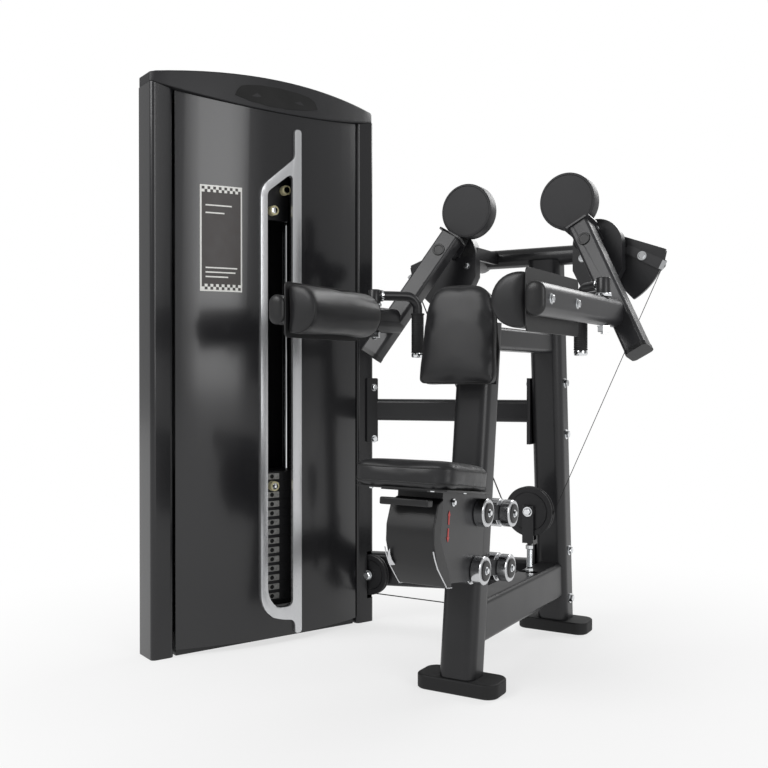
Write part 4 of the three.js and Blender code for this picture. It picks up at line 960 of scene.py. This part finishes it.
def placard():
    """A plain field with a pale border, two bands of checks and a few plain bars."""
    left, right, low, high, margin = -0.2225, -0.1097, 0.9595, 1.24, 0.004
    squares = 14
    size = (right - left - 2 * margin) / squares
    bar_height, bars_left = 0.0035, left + 0.014
    bm = bmesh.new()
    skin(bm, left, right, low, high, 0.0008)
    add("placard_border", bm, white_band, "root", "tower_grey", TOWER)
    bm = bmesh.new()
    skin(bm, left + margin, right - margin, low + margin, high - margin, 0.0012)
    add("placard_field", bm, brown_field, "root", "tower_grey", TOWER)
    bm = bmesh.new()
    for base in (low + margin, high - margin - 2 * size):
        for row in range(2):
            for column in range(row % 2, squares, 2):
                x = left + margin + column * size
                z = base + row * size
                skin(bm, x, x + size, z, z + size, 0.0015, 1)
    for z, wide in ((1.185, 0.07), (1.165, 0.05), (1.02, 0.085), (1.008, 0.08), (0.996, 0.06)):
        skin(bm, bars_left, bars_left + wide, z, z + bar_height, 0.0015, 6)
    add("placard_bands", bm, white_band, "root", "tower_grey", TOWER)


def cap_patch():
    """A near-black patch on the cap, very slightly domed, in the same black that paints the shade of holes.
    """
    outline = [(-0.132, 1.4845), (-0.125, 1.5), (-0.116, 1.5105), (-0.098, 1.516), (-0.058, 1.521),
               (0.002, 1.5225), (0.066, 1.5195), (0.098, 1.5145), (0.116, 1.506), (0.1265, 1.4865),
               (0.085, 1.4772), (0.033, 1.4705), (-0.03, 1.4688), (-0.088, 1.4745)]
    middle_x, middle_z, lift, sunk = -0.003, 1.496, 0.0014, 0.001
    bm = bmesh.new()
    front = [bm.verts.new((x, on_cap(x) - lift, z)) for x, z in outline]
    back = [bm.verts.new((x, on_cap(x) + sunk, z)) for x, z in outline]
    centre = bm.verts.new((middle_x, on_cap(middle_x) - lift - 0.0002, middle_z))
    for i in range(len(outline)):
        j = (i + 1) % len(outline)
        bm.faces.new((front[i], front[j], centre))
        bm.faces.new((front[i], back[i], back[j], front[j]))
    add("cap_patch", bm, painted_shade_black, "root", "cap_charcoal", TOWER, sharp=60)


bezel()
placard()
cap_patch()


# Carriage: red up and down arrows on the side plates, and the silver trim under the cover
def height_arrows():
    y, shaft, head, head_length = -0.228, 0.0032, 0.0068, 0.011
    bm = bmesh.new()
    for s, plate in ((1, 0.0556), (-1, 0.0551)):
        for tip, tail in ((0.4185, 0.3885), (0.3505, 0.3805)):
            neck = tip - head_length if tip > tail else tip + head_length
            arrow = [(-shaft, tail), (shaft, tail), (shaft, neck), (head, neck), (0, tip), (-head, neck),
                     (-shaft, neck)]
            slab(bm, arrow, (s * plate, y, 0), (0, s, 0), UPWARD, 0.0004)
    add("height_arrows", bm, arrow_red, "seat_carriage", "frame_black", LEANING)


def shroud_trim():
    rim = [(-0.2985, 0.333), (-0.29, 0.318), (-0.2743, 0.2966), (-0.25, 0.2757), (-0.2239, 0.2535),
           (-0.2006, 0.2535)]
    crescent = [(-0.055, 0.0), (-0.056, 0.018), (-0.052, 0.034), (-0.044, 0.045), (-0.0475, 0.03),
                (-0.047, 0.015), (-0.042, 0.002)]
    side_x, rim_radius, crescent_depth = 0.0582, 0.0014, 0.0015
    front_edge, front_slope = (0, -0.2752, 0.2945), (0, -0.0243, 0.0364)
    bm = bmesh.new()
    for s in (1, -1):
        sweep(bm, [(s * side_x, y, z) for y, z in rim], rim_radius, 8)
    slab(bm, crescent, front_edge, RIGHTWARD, front_slope, crescent_depth)
    add("shroud_trim", bm, silver, "seat_carriage", "silver_bezel", LEANING)


height_arrows()
shroud_trim()


# Cables: the model's own tubes, shaded smooth; those that change length are taken off their bodies, with
# their placement baked into the mesh
def cable(node):
    return add(f"{node}_finish", node_mesh(node), cable_black, stands_for=(node,), sharp=70)


cable("main_cable")
for node, other, low, high in (("arm_cable", "floating_yoke", 0.42, 1.04),
                               ("yoke_cable", "floating_yoke", 0.183, 0.142),
                               ("stack_cable", "lifted_stack", 0.52, 1.39)):
    made = cable(node)
    made.parent = None
    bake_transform(made)


# Floor: shaded near the machine and as bright as the backdrop further out
def stage_floor():
    near, far, least_glow = 0.2, 1.9, 0.62
    half_size, sunk = 14, 0.0006
    bm = bmesh.new()
    bmesh.ops.create_grid(bm, x_segments=2, y_segments=2, size=half_size)
    mesh = bpy.data.meshes.new("floor")
    bm.to_mesh(mesh)
    bm.free()
    floor = bpy.data.objects.new("floor", mesh)
    floor.location = (0, 0, -sunk)
    scene.collection.objects.link(floor)
    made = bpy.data.materials.new("floor")
    made.use_nodes = True
    tree = made.node_tree
    shader = tree.nodes["Principled BSDF"]
    shader.inputs["Base Color"].default_value = (0.86, 0.86, 0.86, 1)
    shader.inputs["Roughness"].default_value = 0.7
    shader.inputs["Specular IOR Level"].default_value = 0.15
    glow = tree.nodes.new("ShaderNodeEmission")
    glow.inputs["Strength"].default_value = 1.0
    place = tree.nodes.new("ShaderNodeTexCoord")
    distance = tree.nodes.new("ShaderNodeVectorMath")
    distance.operation = "LENGTH"
    tree.links.new(place.outputs["Object"], distance.inputs[0])
    fade = tree.nodes.new("ShaderNodeMapRange")
    fade.inputs["From Min"].default_value = near
    fade.inputs["From Max"].default_value = far
    fade.inputs["To Min"].default_value = least_glow
    fade.interpolation_type = "SMOOTHSTEP"
    tree.links.new(distance.outputs["Value"], fade.inputs["Value"])
    mix = tree.nodes.new("ShaderNodeMixShader")
    tree.links.new(fade.outputs["Result"], mix.inputs["Fac"])
    tree.links.new(shader.outputs["BSDF"], mix.inputs[1])
    tree.links.new(glow.outputs["Emission"], mix.inputs[2])
    tree.links.new(mix.outputs["Shader"], tree.nodes["Material Output"].inputs["Surface"])
    mesh.materials.append(made)


# Lamps
def lamp(name, at, target, size, power):
    data = bpy.data.lights.new(name, "AREA")
    data.shape = "RECTANGLE"
    data.size, data.size_y = size
    data.energy = power
    made = bpy.data.objects.new(name, data)
    made.location = at
    made.rotation_euler = (Vector(target) - Vector(at)).to_track_quat("-Z", "Y").to_euler()
    scene.collection.objects.link(made)


# White world: full in the picture, weaker in mirrored views and weakest as light
def set_world():
    seen_strength, mirrored_strength, light_strength = 1.0, 0.5, 0.34
    world = bpy.data.worlds.new("world")
    scene.world = world
    world.use_nodes = True
    tree = world.node_tree
    tree.nodes.clear()
    path = tree.nodes.new("ShaderNodeLightPath")
    seen = tree.nodes.new("ShaderNodeMath")
    seen.operation = "MAXIMUM"
    tree.links.new(path.outputs["Is Camera Ray"], seen.inputs[0])
    tree.links.new(path.outputs["Is Transmission Ray"], seen.inputs[1])

    def white(strength):
        made = tree.nodes.new("ShaderNodeBackground")
        made.inputs["Color"].default_value = (1, 1, 1, 1)
        made.inputs["Strength"].default_value = strength
        return made.outputs["Background"]

    def choose(switch, without, chosen):
        made = tree.nodes.new("ShaderNodeMixShader")
        tree.links.new(switch, made.inputs["Fac"])
        tree.links.new(without, made.inputs[1])
        tree.links.new(chosen, made.inputs[2])
        return made.outputs["Shader"]

    unseen = choose(path.outputs["Is Glossy Ray"], white(light_strength), white(mirrored_strength))
    out = tree.nodes.new("ShaderNodeOutputWorld")
    tree.links.new(choose(seen.outputs["Value"], unseen, white(seen_strength)), out.inputs["Surface"])


stage_floor()
lamp("key", (-1.6, -3.0, 3.2), (-0.2, 0.2, 0.7), (2.2, 2.2), 95)
lamp("fill", (3.2, -1.4, 1.8), (-0.1, 0.2, 0.8), (1.6, 2.4), 45)
lamp("rim", (0.6, 3.2, 2.8), (-0.2, 0.2, 0.8), (2.4, 1.6), 60)
set_world()
